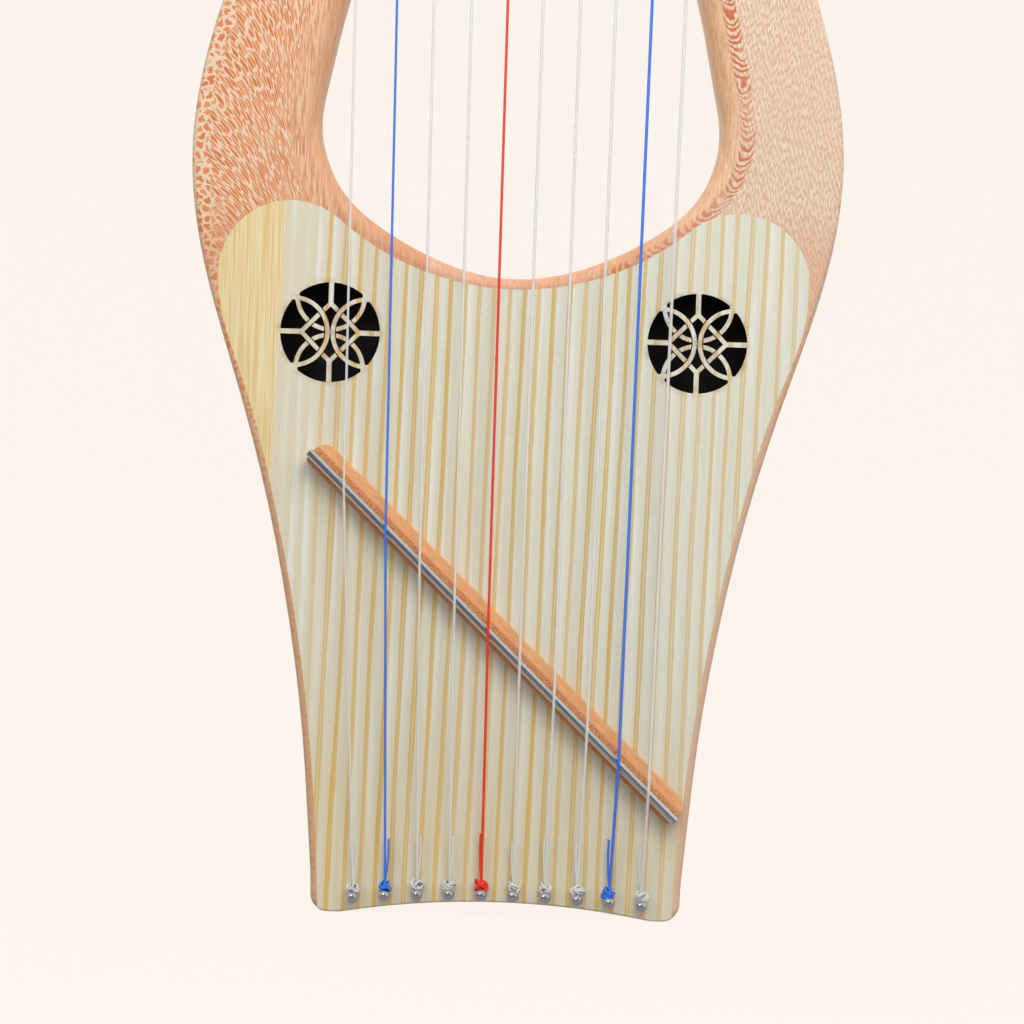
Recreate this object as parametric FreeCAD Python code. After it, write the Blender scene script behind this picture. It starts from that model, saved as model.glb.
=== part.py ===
"""Ten-string lyre: two carved arms, a yoke with tuning pins, and a hollow soundbox.

The lyre stands upright on its two feet. +Z is up, +X is the player's right as seen from
the front, and the front face looks towards -Y. The origin is on the ground plane, under
the middle of the instrument. All lengths are millimetres.
"""
import FreeCAD, Part
import math
import os

V = FreeCAD.Vector

# ---- driving dimensions ---------------------------------------------------------------
BODY_DEPTH = 30.0            # thickness of the arms, sides and blocks
PIN_STAND = 26.0             # how far a tuning pin stands in front of the yoke
FRONT_Y = PIN_STAND - (BODY_DEPTH + PIN_STAND) / 2.0   # Y = 0 is the middle of the whole depth
BACK_Y = FRONT_Y + BODY_DEPTH
MID_Y = (FRONT_Y + BACK_Y) / 2.0

# Half outline of the body, from the foot to the top of the arm, as (half width, height).
OUTER = ((74.0, 7.0), (75.2, 27.0), (78.8, 67.0), (85.8, 115.0), (96.0, 163.0), (109.9, 211.0),
         (122.6, 251.0), (129.2, 283.0), (130.5, 302.0), (128.2, 330.0), (120.3, 363.0),
         (107.0, 401.0), (95.0, 430.0), (90.0, 446.0))
# Inner edges of the two arms, from the middle of the U to the top, as (distance from the middle,
# height). The right arm is the slimmer one.
INNER_RIGHT = ((0.0, 255.4), (28.6, 260.6), (53.0, 272.4), (70.4, 286.6), (79.0, 302.0), (81.6, 316.0),
               (78.8, 335.0), (73.4, 361.0), (66.2, 390.0), (60.8, 418.0), (59.0, 446.0))
INNER_LEFT = ((0.0, 255.4), (28.0, 261.0), (52.2, 273.2), (68.6, 287.0), (77.0, 302.0), (80.0, 316.0),
              (77.4, 335.0), (71.7, 361.0), (64.1, 390.0), (58.6, 418.0), (56.8, 446.0))
ARM_TOP = 446.0
FOOT_FLAT = (62.0, 67.0)     # the part of each foot that touches the ground
FOOT_RADIUS = 7.0
TAIL_RISE = 5.7              # height of the hollow between the two feet
INNER_ROUND = (3.9, 12.0)    # roundover of the inner edge, at the U and at the arm top
OUTER_ROUND = 2.4
TAIL_ROUND = 0.9             # easing of the soundboard's edge at the tail

# Soundboard and back, let in flush.
BOARD_THICK = 3.0
BOARD_INSET = 2.8            # width of the rim left outside the board
LOBE_CENTRE = (89.5, 255.0)  # centre of the round shoulder of the board
LOBE_REACH = 31.8            # lobe radius plus inset
U_LOW = 251.0 + BOARD_INSET  # bottom of the U before the inset
WALL = 10.0                  # glue land between the board's edge and the hollow
HOLLOW_FLOOR = 30.0          # top of the tail block
UPPER_JOINT_X = 34.0         # glue joints between the arms and the two blocks
UPPER_BLOCK_Z = (225.0, 275.0)
TAIL_JOINT_X = 56.0
BEYOND = 10.0                # how far a cutting block reaches past the body

# Rosettes cut in the soundboard.
ROSE_X = (-73.0, 74.0)
ROSE_Z = 231.6
ROSE_R = 20.0
STRAND = 1.7                 # width of a strand of the knot
PETAL_TIP = 19.05            # reach of a petal's centre line from the middle
ARC_APART = 1.05             # how far the middle of each long arc passes from the middle
HUB_R = 0.9                  # small disc that joins the four arcs
SPOKE = 2.0
DIAMOND = 0.58 * ROSE_R      # half diagonal of the diamond, to the middle of its strand
GAP = 0.45                   # engraved line beside a strand that passes over another
GAP_DEPTH = 1.0
GROOVE_REACH = 0.72          # share of the rosette's radius that the grooves reach

# Bridge: a steel rod lying in a wooden base, across the board.
ROD_R = 1.8
ROD_TOP_LEFT = (-79.6, 183.6)
ROD_LOW_RIGHT = (70.8, 40.8)
ROD_PROUD = 1.2              # how far the rod stands out past each end of the base
ROD_CHAMFER = 0.35
ROD_HEIGHT = 8.2             # rod axis above the board
BASE_PROFILE = ((-3.4, 0.0), (-3.4, 5.0), (-2.5, 6.6), (0.0, 8.2), (2.0, 7.4), (3.9, 4.8),
                (7.3, 3.7), (7.9, 3.1), (7.9, 0.0))
BASE_END_ROUND = (2.0, 4.8)  # rounding of its upright corners, below and above the rod

# Strings.
STRINGS = 10
HITCH_PITCH = 12.8
HITCH_MIDDLE_X = 0.8
HITCH_ROW_Z = 9.0            # height of the middle of the row of hitch pins
HITCH_ROW_DROP = 2.5         # how much lower the outermost pins are
BRIDGE_X = (-65.0, -47.9, -34.0, -19.7, -6.0, 6.9, 21.0, 34.5, 47.4, 59.6)
TOP_X = (-67.5, -51.2, -36.0, -20.6, -6.0, 8.6, 23.8, 38.0, 52.8, 66.6)
FIRST_STRING_D = 1.0         # treble, on the left
STRING_D_STEP = 0.035
STRING_CLEAR = 0.1
STRING_BEND_R = 6.0
HITCH_STRING_OUT = 2.3       # string height above the board at the hitch pins
PIN_STRING_OUT = 4.0         # string height above the yoke at the tuning pins
KNOT_R = 1.8
KNOT_CLEAR = 0.02            # between a knot and the head of its hitch pin

# Hitch pins.
HITCH_SHANK_R = 1.1
HITCH_HEAD_R = 2.4
HITCH_HEAD_OUT = 4.6         # centre of the round head above the board
HITCH_NECK_OUT = 3.5         # flat underside of the head
HITCH_DEPTH = 18.0

# Tuning pins and yoke.
PIN_R = 2.5
PIN_DEPTH = 23.0
PIN_HOLE_CLEAR = 0.05
PIN_ROUND_OUT = 15.0         # length of the round part in front of the yoke
PIN_SQUARE = 4.2             # across the flats at the foot of the square
PIN_SQUARE_TIP = 3.6
PIN_EYE_R = 0.8
PIN_EYE_OUT = 11.5
PIN_ROW_Z = 466.0
PIN_ROW_RISE = 6.0
WINDING_TURNS = 4
WINDING_PITCH = 1.5
WINDING_CLEAR = 0.03
STRING_STOP = 2.9            # how far under the pin's axis the straight string ends
YOKE_HALF = 98.0
YOKE_END_Z = 462.0
YOKE_TOP = 494.0
YOKE_ARCH = 457.0
YOKE_SEAT = (50.0, 93.0)     # flat seats on the arms
YOKE_ROUND = 5.0
YOKE_END_ROUND = 9.0
DOWEL_R = 4.0
DOWEL_X = 73.0
DOWEL_LOW = 426.0
DOWEL_TOP = 460.0

# Braces glued inside.
BRACE_DEEP = 7.0
BRACE_WIDE = 8.0
SOUNDBOARD_BRACES = {"upper_brace": 199.0, "lower_brace": 70.0}
BACK_BRACE_Z = 140.0


# ---- helpers --------------------------------------------------------------------------
def point(x, z, y=FRONT_Y):
    """A point at the front plane, from its width and height."""
    return V(x, y, z)


def spline(points, start=None, end=None):
    """A smooth curve through points given as (x, z), with optional end directions."""
    curve = Part.BSplineCurve()
    places = [point(x, z) for x, z in points]
    if start is None:
        curve.interpolate(Points=places)
    else:
        curve.interpolate(Points=places, InitialTangent=V(start[0], 0, start[1]),
                          FinalTangent=V(end[0], 0, end[1]))
    return curve.toShape()


def line(a, b):
    """A straight edge between two (x, z) places."""
    return Part.makeLine(point(*a), point(*b))


def arc(a, b, c):
    """An arc from a to c through b, each given as (x, z)."""
    return Part.Arc(point(*a), point(*b), point(*c)).toShape()


def prism(edges, depth, y=FRONT_Y):
    """A solid of the closed outline, running backwards from the plane at y."""
    wire = Part.Wire(Part.__sortEdges__(edges))
    solid = Part.Face(wire).extrude(V(0, depth, 0))
    solid.translate(V(0, y - FRONT_Y, 0))
    return solid


def mirrored(shape):
    """The same shape on the other side of the middle."""
    return shape.mirror(V(0, 0, 0), V(1, 0, 0))


def block(x0, x1, y0, y1, z0, z1):
    """A box between two corners."""
    return Part.makeBox(x1 - x0, y1 - y0, z1 - z0, V(x0, y0, z0))


def rod(radius, start, end):
    """A cylinder between two points."""
    run = end.sub(start)
    return Part.makeCylinder(radius, run.Length, start, run)


def edges_near(solid, places, reach=1.5):
    """The edges of solid that pass within reach of the given places."""
    found = []
    for place in places:
        vertex = Part.Vertex(place)
        nearest = min(solid.Edges, key=lambda edge: edge.distToShape(vertex)[0])
        if nearest.distToShape(vertex)[0] < reach:
            found.append(nearest)
    return found


def save(name, shape):
    """Write one node, after checking that it is sound."""
    if not shape.isValid():
        print("NOT VALID", name)
    print("%-18s solids %2d  volume %10.1f" % (name, len(shape.Solids), shape.Volume))
    shape.exportStep("parts/%s.step" % name)


# ---- body -----------------------------------------------------------------------------
def foot_corner():
    """The middle of the rounded outer corner of a foot, as (x, z)."""
    slant = math.sin(math.radians(45))
    return FOOT_FLAT[1] + FOOT_RADIUS * slant, FOOT_RADIUS * (1.0 - slant)


def foot_edges():
    """The flat and the rounded corner of the right foot."""
    return [line((FOOT_FLAT[0], 0.0), (FOOT_FLAT[1], 0.0)),
            arc((FOOT_FLAT[1], 0.0), foot_corner(), OUTER[0])]


def half_silhouette(inner_edge):
    """Right half of the arms, sides and blocks as one solid, with its edges rounded."""
    side = spline(OUTER, (0.0, 1.0), (-0.15, 1.0))
    inner = spline(inner_edge, (1.0, 0.0), (0.0, 1.0))
    corner_in = foot_corner()
    outline = [inner, line(inner_edge[-1], OUTER[-1]), side, *foot_edges(),
               tail_arc(half=True), line((0.0, TAIL_RISE), inner_edge[0])]
    solid = prism(outline, BODY_DEPTH)
    inner_mid = V(inner_edge[5][0], 0, inner_edge[5][1])
    outer_mid = V(OUTER[8][0], 0, OUTER[8][1])
    for y in (FRONT_Y, BACK_Y):
        edge = edges_near(solid, [V(inner_mid.x, y, inner_mid.z)])
        first = edge[0].Vertexes[0].Point
        radii = INNER_ROUND if first.x < 1.0 else INNER_ROUND[::-1]
        solid = solid.makeFillet(radii[0], radii[1], edge)
        edge = edges_near(solid, [V(outer_mid.x, y, outer_mid.z), V(corner_in[0], y, corner_in[1])])
        solid = solid.makeFillet(OUTER_ROUND, edge)
    return solid


def tail_arc(half=False):
    """The shallow hollow between the feet."""
    foot = FOOT_FLAT[0]
    if not half:
        return arc((-foot, 0.0), (0.0, TAIL_RISE), (foot, 0.0))
    radius = (foot ** 2 + TAIL_RISE ** 2) / (2 * TAIL_RISE)
    mid = foot / 2.0
    height = TAIL_RISE - radius + math.sqrt(radius ** 2 - mid ** 2)
    return arc((0.0, TAIL_RISE), (mid, height), (foot, 0.0))


def box_outline(inset, floor):
    """Outline of the soundbox, drawn inset from the sides, down to a straight floor."""
    lobe_r = LOBE_REACH - inset
    low = U_LOW - inset
    lobe_x, lobe_z = LOBE_CENTRE
    # The U is an arc that touches both lobes from outside.
    rise = low - lobe_z
    u_radius = (lobe_x ** 2 + rise ** 2 - lobe_r ** 2) / (2 * (lobe_r - rise))
    away = V(lobe_x, 0, lobe_z - low - u_radius)
    away.normalize()
    touch = (u_radius * away.x, low + u_radius + u_radius * away.z)
    lobe_top = (lobe_x + lobe_r * math.cos(math.radians(60)),
                lobe_z + lobe_r * math.sin(math.radians(60)))
    lobe_side = (lobe_x + lobe_r, lobe_z)
    side_points = [(OUTER[0][0] - inset - 0.9, floor)]
    side_points += [(x - inset, z) for x, z in OUTER[:6] if z > floor + 8.0]
    side_points.append(lobe_side)
    right = [arc(touch, lobe_top, lobe_side), spline(side_points, (0.03, 1.0), (0.0, 1.0))]
    left = [mirrored(edge) for edge in right]
    middle = arc((-touch[0], touch[1]), (0.0, low), touch)
    base = line((-side_points[0][0], floor), side_points[0])
    return right + left + [middle, base]


def tail_trim():
    """A prism that is the whole lyre's outline at the feet, and wider than it further up."""
    wide, high = OUTER[0][0] + BEYOND, ARM_TOP
    right = foot_edges() + [line(OUTER[0], (wide, OUTER[0][1] + 1.0)),
                            line((wide, OUTER[0][1] + 1.0), (2.0 * wide, high))]
    left = [mirrored(edge) for edge in right]
    return prism([tail_arc()] + right + left + [line((-2.0 * wide, high), (2.0 * wide, high))], BODY_DEPTH)


def slab(front, back, low, high, reach=OUTER[8][0] + BEYOND, start=None):
    """A block right across the body, or from start to reach, between two depths and heights."""
    return block(-reach if start is None else start, reach, front, back, low, high)


def body_nodes():
    """Arms, blocks, soundboard blank and back."""
    hollow = prism(box_outline(BOARD_INSET + WALL, HOLLOW_FLOOR), BODY_DEPTH)
    board_blank = prism(box_outline(BOARD_INSET, -BEYOND), BODY_DEPTH).common(tail_trim())
    soundboard = board_blank.common(slab(FRONT_Y - BEYOND, FRONT_Y + BOARD_THICK, -BEYOND, ARM_TOP))
    back = board_blank.common(slab(BACK_Y - BOARD_THICK, BACK_Y + BEYOND, -BEYOND, ARM_TOP))
    foot_middle = sum(FOOT_FLAT) / 2.0
    tail_places = [(0.0, TAIL_RISE), (foot_middle, 0.0), (-foot_middle, 0.0)]
    front_edge = edges_near(soundboard, [point(x, z) for x, z in tail_places])
    eased_board = soundboard.makeFillet(TAIL_ROUND, front_edge)
    # The two cutting blocks reach past the middle, where the halves are joined.
    front, rear = FRONT_Y - BEYOND, BACK_Y + BEYOND
    upper_box = slab(front, rear, *UPPER_BLOCK_Z, UPPER_JOINT_X, -BEYOND)
    tail_box = slab(front, rear, -BEYOND, HOLLOW_FLOOR + 1.0, TAIL_JOINT_X, -BEYOND)
    arms, uppers, tails = [], [], []
    for inner_edge in (INNER_RIGHT, INNER_LEFT):
        half = half_silhouette(inner_edge).cut(hollow).cut(soundboard).cut(back)
        arms.append(half.cut(upper_box).cut(tail_box))
        uppers.append(half.common(upper_box))
        tails.append(half.common(tail_box))
    upper = uppers[0].fuse(mirrored(uppers[1])).removeSplitter()
    tail = tails[0].fuse(mirrored(tails[1])).removeSplitter()
    return arms[0], mirrored(arms[1]), upper, tail, eased_board, back, hollow


# ---- rosettes -------------------------------------------------------------------------
def disc(x, z, radius):
    """A flat disc in the front plane."""
    circle = Part.makeCircle(radius, point(x, z), V(0, -1, 0))
    return Part.Face(Part.Wire(circle))


def ring(x, z, middle, width):
    """A flat ring in the front plane."""
    return disc(x, z, middle + width / 2.0).cut(disc(x, z, middle - width / 2.0))


def diamond(x, z, width):
    """The square strand of the knot, standing on its corner."""
    half = width / math.sqrt(2.0)
    loops = []
    for reach in (DIAMOND + half, DIAMOND - half):
        corners = [point(x + reach, z), point(x, z + reach), point(x - reach, z), point(x, z - reach)]
        loops.append(Part.Face(Part.makePolygon(corners + corners[:1])))
    return loops[0].cut(loops[1])


def spoke(x, z, turn):
    """A bar from the rim of the hole to one corner of the diamond."""
    near, far, half = DIAMOND - 0.2, ROSE_R + 1.0, SPOKE / 2.0
    corners = [V(near, FRONT_Y, -half), V(far, FRONT_Y, -half), V(far, FRONT_Y, half), V(near, FRONT_Y, half)]
    bar = Part.Face(Part.makePolygon(corners + corners[:1]))
    bar.rotate(V(0, 0, 0), V(0, 1, 0), 90.0 * turn)
    bar.translate(V(x, 0, z))
    return bar


def rosette(x, z):
    """What is cut away: the openings, and shallow grooves where one strand passes over another."""
    tip = PETAL_TIP / math.sqrt(2.0)
    centre = (2.0 * tip ** 2 - ARC_APART ** 2) / (2.0 * (tip - ARC_APART))
    arc_r = centre - ARC_APART
    wide = STRAND + 2 * GAP
    across = [(x - centre, z), (x + centre, z)]
    upright = [(x, z - centre), (x, z + centre)]
    over = ring(*across[0], arc_r, STRAND).fuse(ring(*across[1], arc_r, STRAND))
    beside_over = ring(*across[0], arc_r, wide).fuse(ring(*across[1], arc_r, wide)).cut(over)
    middle = diamond(x, z, STRAND)
    beside_middle = diamond(x, z, wide).cut(middle)
    under = ring(*upright[0], arc_r, STRAND).fuse(ring(*upright[1], arc_r, STRAND))
    bars = [spoke(x, z, turn) for turn in range(4)]
    strands = over.fuse([middle, under, disc(x, z, HUB_R)] + bars)
    openings = disc(x, z, ROSE_R).cut(strands).extrude(V(0, BOARD_THICK, 0))
    # The grooves stop short of the petals' tips, where the strands join.
    grooves = middle.common(beside_over).fuse(under.common(beside_over.fuse(beside_middle)).cut(over))
    grooves = grooves.common(disc(x, z, GROOVE_REACH * ROSE_R))
    return openings, grooves.extrude(V(0, GAP_DEPTH, 0))


def pierced_soundboard(board):
    """The soundboard with both rosettes cut through it, so that only the knots are left."""
    for x in ROSE_X:
        openings, grooves = rosette(x, ROSE_Z)
        board = board.cut(openings).cut(grooves)
    return board


# ---- bridge ---------------------------------------------------------------------------
def rod_line():
    """Start of the rod, its direction, and the direction across it."""
    start = V(ROD_TOP_LEFT[0], FRONT_Y - ROD_HEIGHT, ROD_TOP_LEFT[1])
    end = V(ROD_LOW_RIGHT[0], FRONT_Y - ROD_HEIGHT, ROD_LOW_RIGHT[1])
    along = end.sub(start)
    along.normalize()
    return start, end, along, V(-along.z, 0, along.x)


def bridge():
    """The wooden base and the steel rod that lies in its groove."""
    start, end, along, across = rod_line()
    steel = rod(ROD_R, start, end)
    steel = steel.makeChamfer(ROD_CHAMFER, [edge for edge in steel.Edges if isinstance(edge.Curve, Part.Circle)])
    foot = start.add(along * ROD_PROUD).add(V(0, ROD_HEIGHT, 0))
    corners = [foot.add(across * s).add(V(0, -h, 0)) for s, h in BASE_PROFILE]
    profile = Part.Face(Part.makePolygon(corners + corners[:1]))
    base = profile.extrude(along * (end.sub(start).Length - 2 * ROD_PROUD))
    for radius, (side, _) in zip(BASE_END_ROUND, (BASE_PROFILE[0], BASE_PROFILE[-1])):
        upright = [edge for edge in base.Edges
                   if abs(edge.tangentAt(edge.FirstParameter).y) > 0.999
                   and abs(edge.Vertexes[0].Point.sub(start).dot(across) - side) < 0.01]
        base = base.makeFillet(radius, upright)
    return base.cut(rod(ROD_R, start.sub(along * 5), end.add(along * 5))), steel


def rod_height_at(x):
    """Height of the rod's axis where it crosses the upright line at x."""
    start, end, along, _ = rod_line()
    return start.z + (x - start.x) * along.z / along.x


# ---- strings and pins -----------------------------------------------------------------
def string_d(index):
    """Diameter of a string, thin treble to thick bass."""
    return FIRST_STRING_D + STRING_D_STEP * index


def hitch_place(index):
    """Where a hitch pin enters the board, as (x, z)."""
    half_count = (STRINGS - 1) / 2.0
    share = (index - half_count) / half_count
    return HITCH_MIDDLE_X + HITCH_PITCH * half_count * share, HITCH_ROW_Z - HITCH_ROW_DROP * share ** 2


def pin_place(index):
    """Where a tuning pin enters the yoke: the string leaves its right side."""
    x = TOP_X[index] - PIN_R - string_d(index) / 2.0
    return x, PIN_ROW_Z + PIN_ROW_RISE * (1.0 - (x / TOP_X[-1]) ** 2)


def string(index):
    """One string: knot at the hitch pin, bend on the rod, straight to the tuning pin."""
    radius = string_d(index) / 2.0
    hitch_x, hitch_z = hitch_place(index)
    cross_x = BRIDGE_X[index]
    _, pin_z = pin_place(index)
    out_of_head = HITCH_HEAD_OUT - HITCH_STRING_OUT
    lift = math.sqrt((KNOT_R + HITCH_HEAD_R + KNOT_CLEAR) ** 2 - out_of_head ** 2)
    low = V(hitch_x, FRONT_Y - HITCH_STRING_OUT, hitch_z + lift)
    bend = V(cross_x, FRONT_Y - ROD_HEIGHT - ROD_R - radius - STRING_CLEAR, rod_height_at(cross_x))
    top = V(TOP_X[index], FRONT_Y - PIN_STRING_OUT, pin_z - STRING_STOP)
    below = low.sub(bend)
    above = top.sub(bend)
    below.normalize()
    above.normalize()
    turn = math.pi - below.getAngle(above)
    back_off = STRING_BEND_R * math.tan(turn / 2.0)
    middle = below.add(above)
    middle.normalize()
    crown = bend.add(middle * (STRING_BEND_R * (1.0 / math.cos(turn / 2.0) - 1.0)))
    a = bend.add(below * back_off)
    b = bend.add(above * back_off)
    path = Part.Wire([Part.makeLine(low, a), Part.Arc(a, crown, b).toShape(), Part.makeLine(b, top)])
    section = Part.Wire(Part.makeCircle(radius, low, below.negative()))
    tube = path.makePipeShell([section], True, True)
    expected = math.pi * radius ** 2 * path.Length
    print("string %2d length %6.1f  bend radius %.1f  volume ratio %.4f"
          % (index + 1, path.Length, STRING_BEND_R, tube.Volume / expected))
    return tube.fuse(Part.makeSphere(KNOT_R, low))


def hitch_pin(index):
    """A round-headed nail that holds the end of one string."""
    x, z = hitch_place(index)
    shank = rod(HITCH_SHANK_R, V(x, FRONT_Y + HITCH_DEPTH, z), V(x, FRONT_Y - HITCH_HEAD_OUT, z))
    head = Part.makeSphere(HITCH_HEAD_R, V(x, FRONT_Y - HITCH_HEAD_OUT, z))
    r = HITCH_HEAD_R
    under = block(x - r, x + r, FRONT_Y - HITCH_NECK_OUT, FRONT_Y, z - r, z + r)
    return shank.fuse(head.cut(under)).removeSplitter()


def hitch_holes():
    """Holes for the hitch pins, through the board and into the tail block and the arms."""
    holes = []
    for index in range(STRINGS):
        x, z = hitch_place(index)
        holes.append(rod(HITCH_SHANK_R, V(x, FRONT_Y - 1, z), V(x, FRONT_Y + HITCH_DEPTH, z)))
    return holes


def tuning_pin(index):
    """A tuning pin: round shank with a string eye, and a tapered square head."""
    x, z = pin_place(index)
    shank = rod(PIN_R, V(x, FRONT_Y + PIN_DEPTH, z), V(x, FRONT_Y - PIN_ROUND_OUT, z))
    squares = []
    for side, out in ((PIN_SQUARE, PIN_ROUND_OUT), (PIN_SQUARE_TIP, PIN_STAND)):
        h = side / 2.0
        y = FRONT_Y - out
        corners = [V(x - h, y, z - h), V(x + h, y, z - h), V(x + h, y, z + h), V(x - h, y, z + h)]
        squares.append(Part.makePolygon(corners + corners[:1]))
    head = Part.makeLoft(squares, True)
    limit = rod(PIN_R, V(x, FRONT_Y - PIN_ROUND_OUT + 1, z), V(x, FRONT_Y - PIN_STAND, z))
    eye = rod(PIN_EYE_R, V(x - 5, FRONT_Y - PIN_EYE_OUT, z), V(x + 5, FRONT_Y - PIN_EYE_OUT, z))
    return shank.fuse(head.common(limit)).cut(eye)


def winding(index):
    """The turns of string round a tuning pin."""
    x, z = pin_place(index)
    radius = string_d(index) / 2.0
    turns = []
    for turn in range(WINDING_TURNS):
        y = FRONT_Y - PIN_STRING_OUT - WINDING_PITCH * turn
        turns.append(Part.makeTorus(PIN_R + radius + WINDING_CLEAR, radius, V(x, y, z), V(0, 1, 0)))
    return Part.makeCompound(turns)


def yoke():
    """The crossbar on top of the arms, bored for the pins and the dowels."""
    seat_in, seat_out = YOKE_SEAT
    edges = [arc((-seat_in, ARM_TOP), (0, YOKE_ARCH), (seat_in, ARM_TOP)),
             line((seat_in, ARM_TOP), (seat_out, ARM_TOP)),
             line((seat_out, ARM_TOP), (YOKE_HALF, YOKE_END_Z)),
             arc((YOKE_HALF, YOKE_END_Z), (0, YOKE_TOP), (-YOKE_HALF, YOKE_END_Z)),
             line((-YOKE_HALF, YOKE_END_Z), (-seat_out, ARM_TOP)),
             line((-seat_out, ARM_TOP), (-seat_in, ARM_TOP))]
    bar = prism(edges, BODY_DEPTH)
    ends = [V(sign * YOKE_HALF, MID_Y, YOKE_END_Z) for sign in (-1, 1)]
    bar = bar.makeFillet(YOKE_END_ROUND, edges_near(bar, ends))
    tops = [V(0, y, YOKE_TOP) for y in (FRONT_Y, BACK_Y)]
    bar = bar.makeFillet(YOKE_ROUND, edges_near(bar, tops))
    arches = [V(0, y, YOKE_ARCH) for y in (FRONT_Y, BACK_Y)]
    bar = bar.makeFillet(YOKE_ROUND / 2.0, edges_near(bar, arches))
    for index in range(STRINGS):
        x, z = pin_place(index)
        bar = bar.cut(rod(PIN_R + PIN_HOLE_CLEAR, V(x, FRONT_Y - 1, z), V(x, FRONT_Y + PIN_DEPTH + 0.5, z)))
    return bar


def dowel(sign):
    """A dowel that pins the yoke to one arm."""
    x = sign * DOWEL_X
    return rod(DOWEL_R, V(x, MID_Y, DOWEL_LOW), V(x, MID_Y, DOWEL_TOP))


# ---- the whole lyre -------------------------------------------------------------------
def main():
    os.makedirs("parts", exist_ok=True)
    right_arm, left_arm, upper, tail, soundboard, back, hollow = body_nodes()
    left_dowel, right_dowel = dowel(-1), dowel(1)
    holes = hitch_holes()
    save("right_arm", right_arm.cut(holes + [right_dowel]))
    save("left_arm", left_arm.cut(holes + [left_dowel]))
    save("upper_block", upper)
    save("tail_block", tail.cut(holes))
    save("soundboard", pierced_soundboard(soundboard).cut(holes))
    save("back_board", back)
    save("yoke", yoke().cut([left_dowel, right_dowel]))
    save("yoke_dowels", Part.makeCompound([left_dowel, right_dowel]))

    inside_front = FRONT_Y + BOARD_THICK
    for name, z in SOUNDBOARD_BRACES.items():
        bar = slab(inside_front, inside_front + BRACE_DEEP, z, z + BRACE_WIDE)
        save(name, bar.common(hollow))
    inside_back = BACK_Y - BOARD_THICK
    bar = slab(inside_back - BRACE_DEEP, inside_back, BACK_BRACE_Z, BACK_BRACE_Z + BRACE_WIDE)
    save("back_brace", bar.common(hollow))

    base, steel = bridge()
    save("bridge_base", base)
    save("bridge_rod", steel)
    save("hitch_pins", Part.makeCompound([hitch_pin(index) for index in range(STRINGS)]))
    for index in range(STRINGS):
        number = index + 1
        save("string_%02d" % number, string(index))
        save("tuning_pin_%02d" % number, tuning_pin(index))
        save("string_winding_%02d" % number, winding(index))


main()
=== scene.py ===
"""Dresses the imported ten-string lyre: figured arms, ash soundboard, steel bridge, nylon strings."""

import logging
import math
import random
from dataclasses import dataclass, field
from enum import Enum

import bmesh
import bpy
from mathutils import Euler, Matrix, Vector

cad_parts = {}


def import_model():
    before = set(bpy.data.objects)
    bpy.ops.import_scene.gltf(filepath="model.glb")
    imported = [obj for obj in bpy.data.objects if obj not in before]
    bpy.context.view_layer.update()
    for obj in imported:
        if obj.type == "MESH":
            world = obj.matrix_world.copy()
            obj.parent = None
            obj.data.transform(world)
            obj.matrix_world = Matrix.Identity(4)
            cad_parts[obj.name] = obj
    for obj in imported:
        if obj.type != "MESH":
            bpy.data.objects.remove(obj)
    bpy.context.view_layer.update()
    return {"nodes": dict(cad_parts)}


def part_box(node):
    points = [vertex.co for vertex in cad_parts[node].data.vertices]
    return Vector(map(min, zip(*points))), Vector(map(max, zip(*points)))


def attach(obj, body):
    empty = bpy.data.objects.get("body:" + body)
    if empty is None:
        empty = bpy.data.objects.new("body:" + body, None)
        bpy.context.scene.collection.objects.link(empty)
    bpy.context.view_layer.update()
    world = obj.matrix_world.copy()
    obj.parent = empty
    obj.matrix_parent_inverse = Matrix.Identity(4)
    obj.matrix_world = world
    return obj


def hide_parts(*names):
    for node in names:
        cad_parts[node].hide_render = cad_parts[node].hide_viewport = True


LOG = logging.getLogger("lyre")
MM = 0.001
QUARTER = math.radians(90)
SMOOTH_ANGLE = math.radians(50)   # edges blunter than this are shaded smooth

Shade = tuple[float, float, float, float]
Turn = tuple[float, float, float]
Span = tuple[float, float]        # where a change starts and where it is complete
Levels = tuple[tuple[float, float], ...]
Piece = bpy.types.Object
Material = bpy.types.Material
Tree = bpy.types.NodeTree
Node = bpy.types.Node
Socket = bpy.types.NodeSocket


class StringColour(Enum):
    """The dye of a nylon string, which names its material slot."""

    CLEAR = "string_clear"
    BLUE = "string_blue"
    RED = "string_red"


def srgb(red: int, green: int, blue: int) -> Shade:
    """Turn a colour as seen on a screen into the linear colour that a shader wants.

    Args:
        red: Red, from 0 to 255.
        green: Green, from 0 to 255.
        blue: Blue, from 0 to 255.

    Returns:
        The linear colour with full alpha.
    """
    def linear(value: int) -> float:
        """One channel made linear."""
        share = value / 255.0
        return share / 12.92 if share <= 0.04045 else ((share + 0.055) / 1.055) ** 2.4
    return linear(red), linear(green), linear(blue), 1.0


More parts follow.
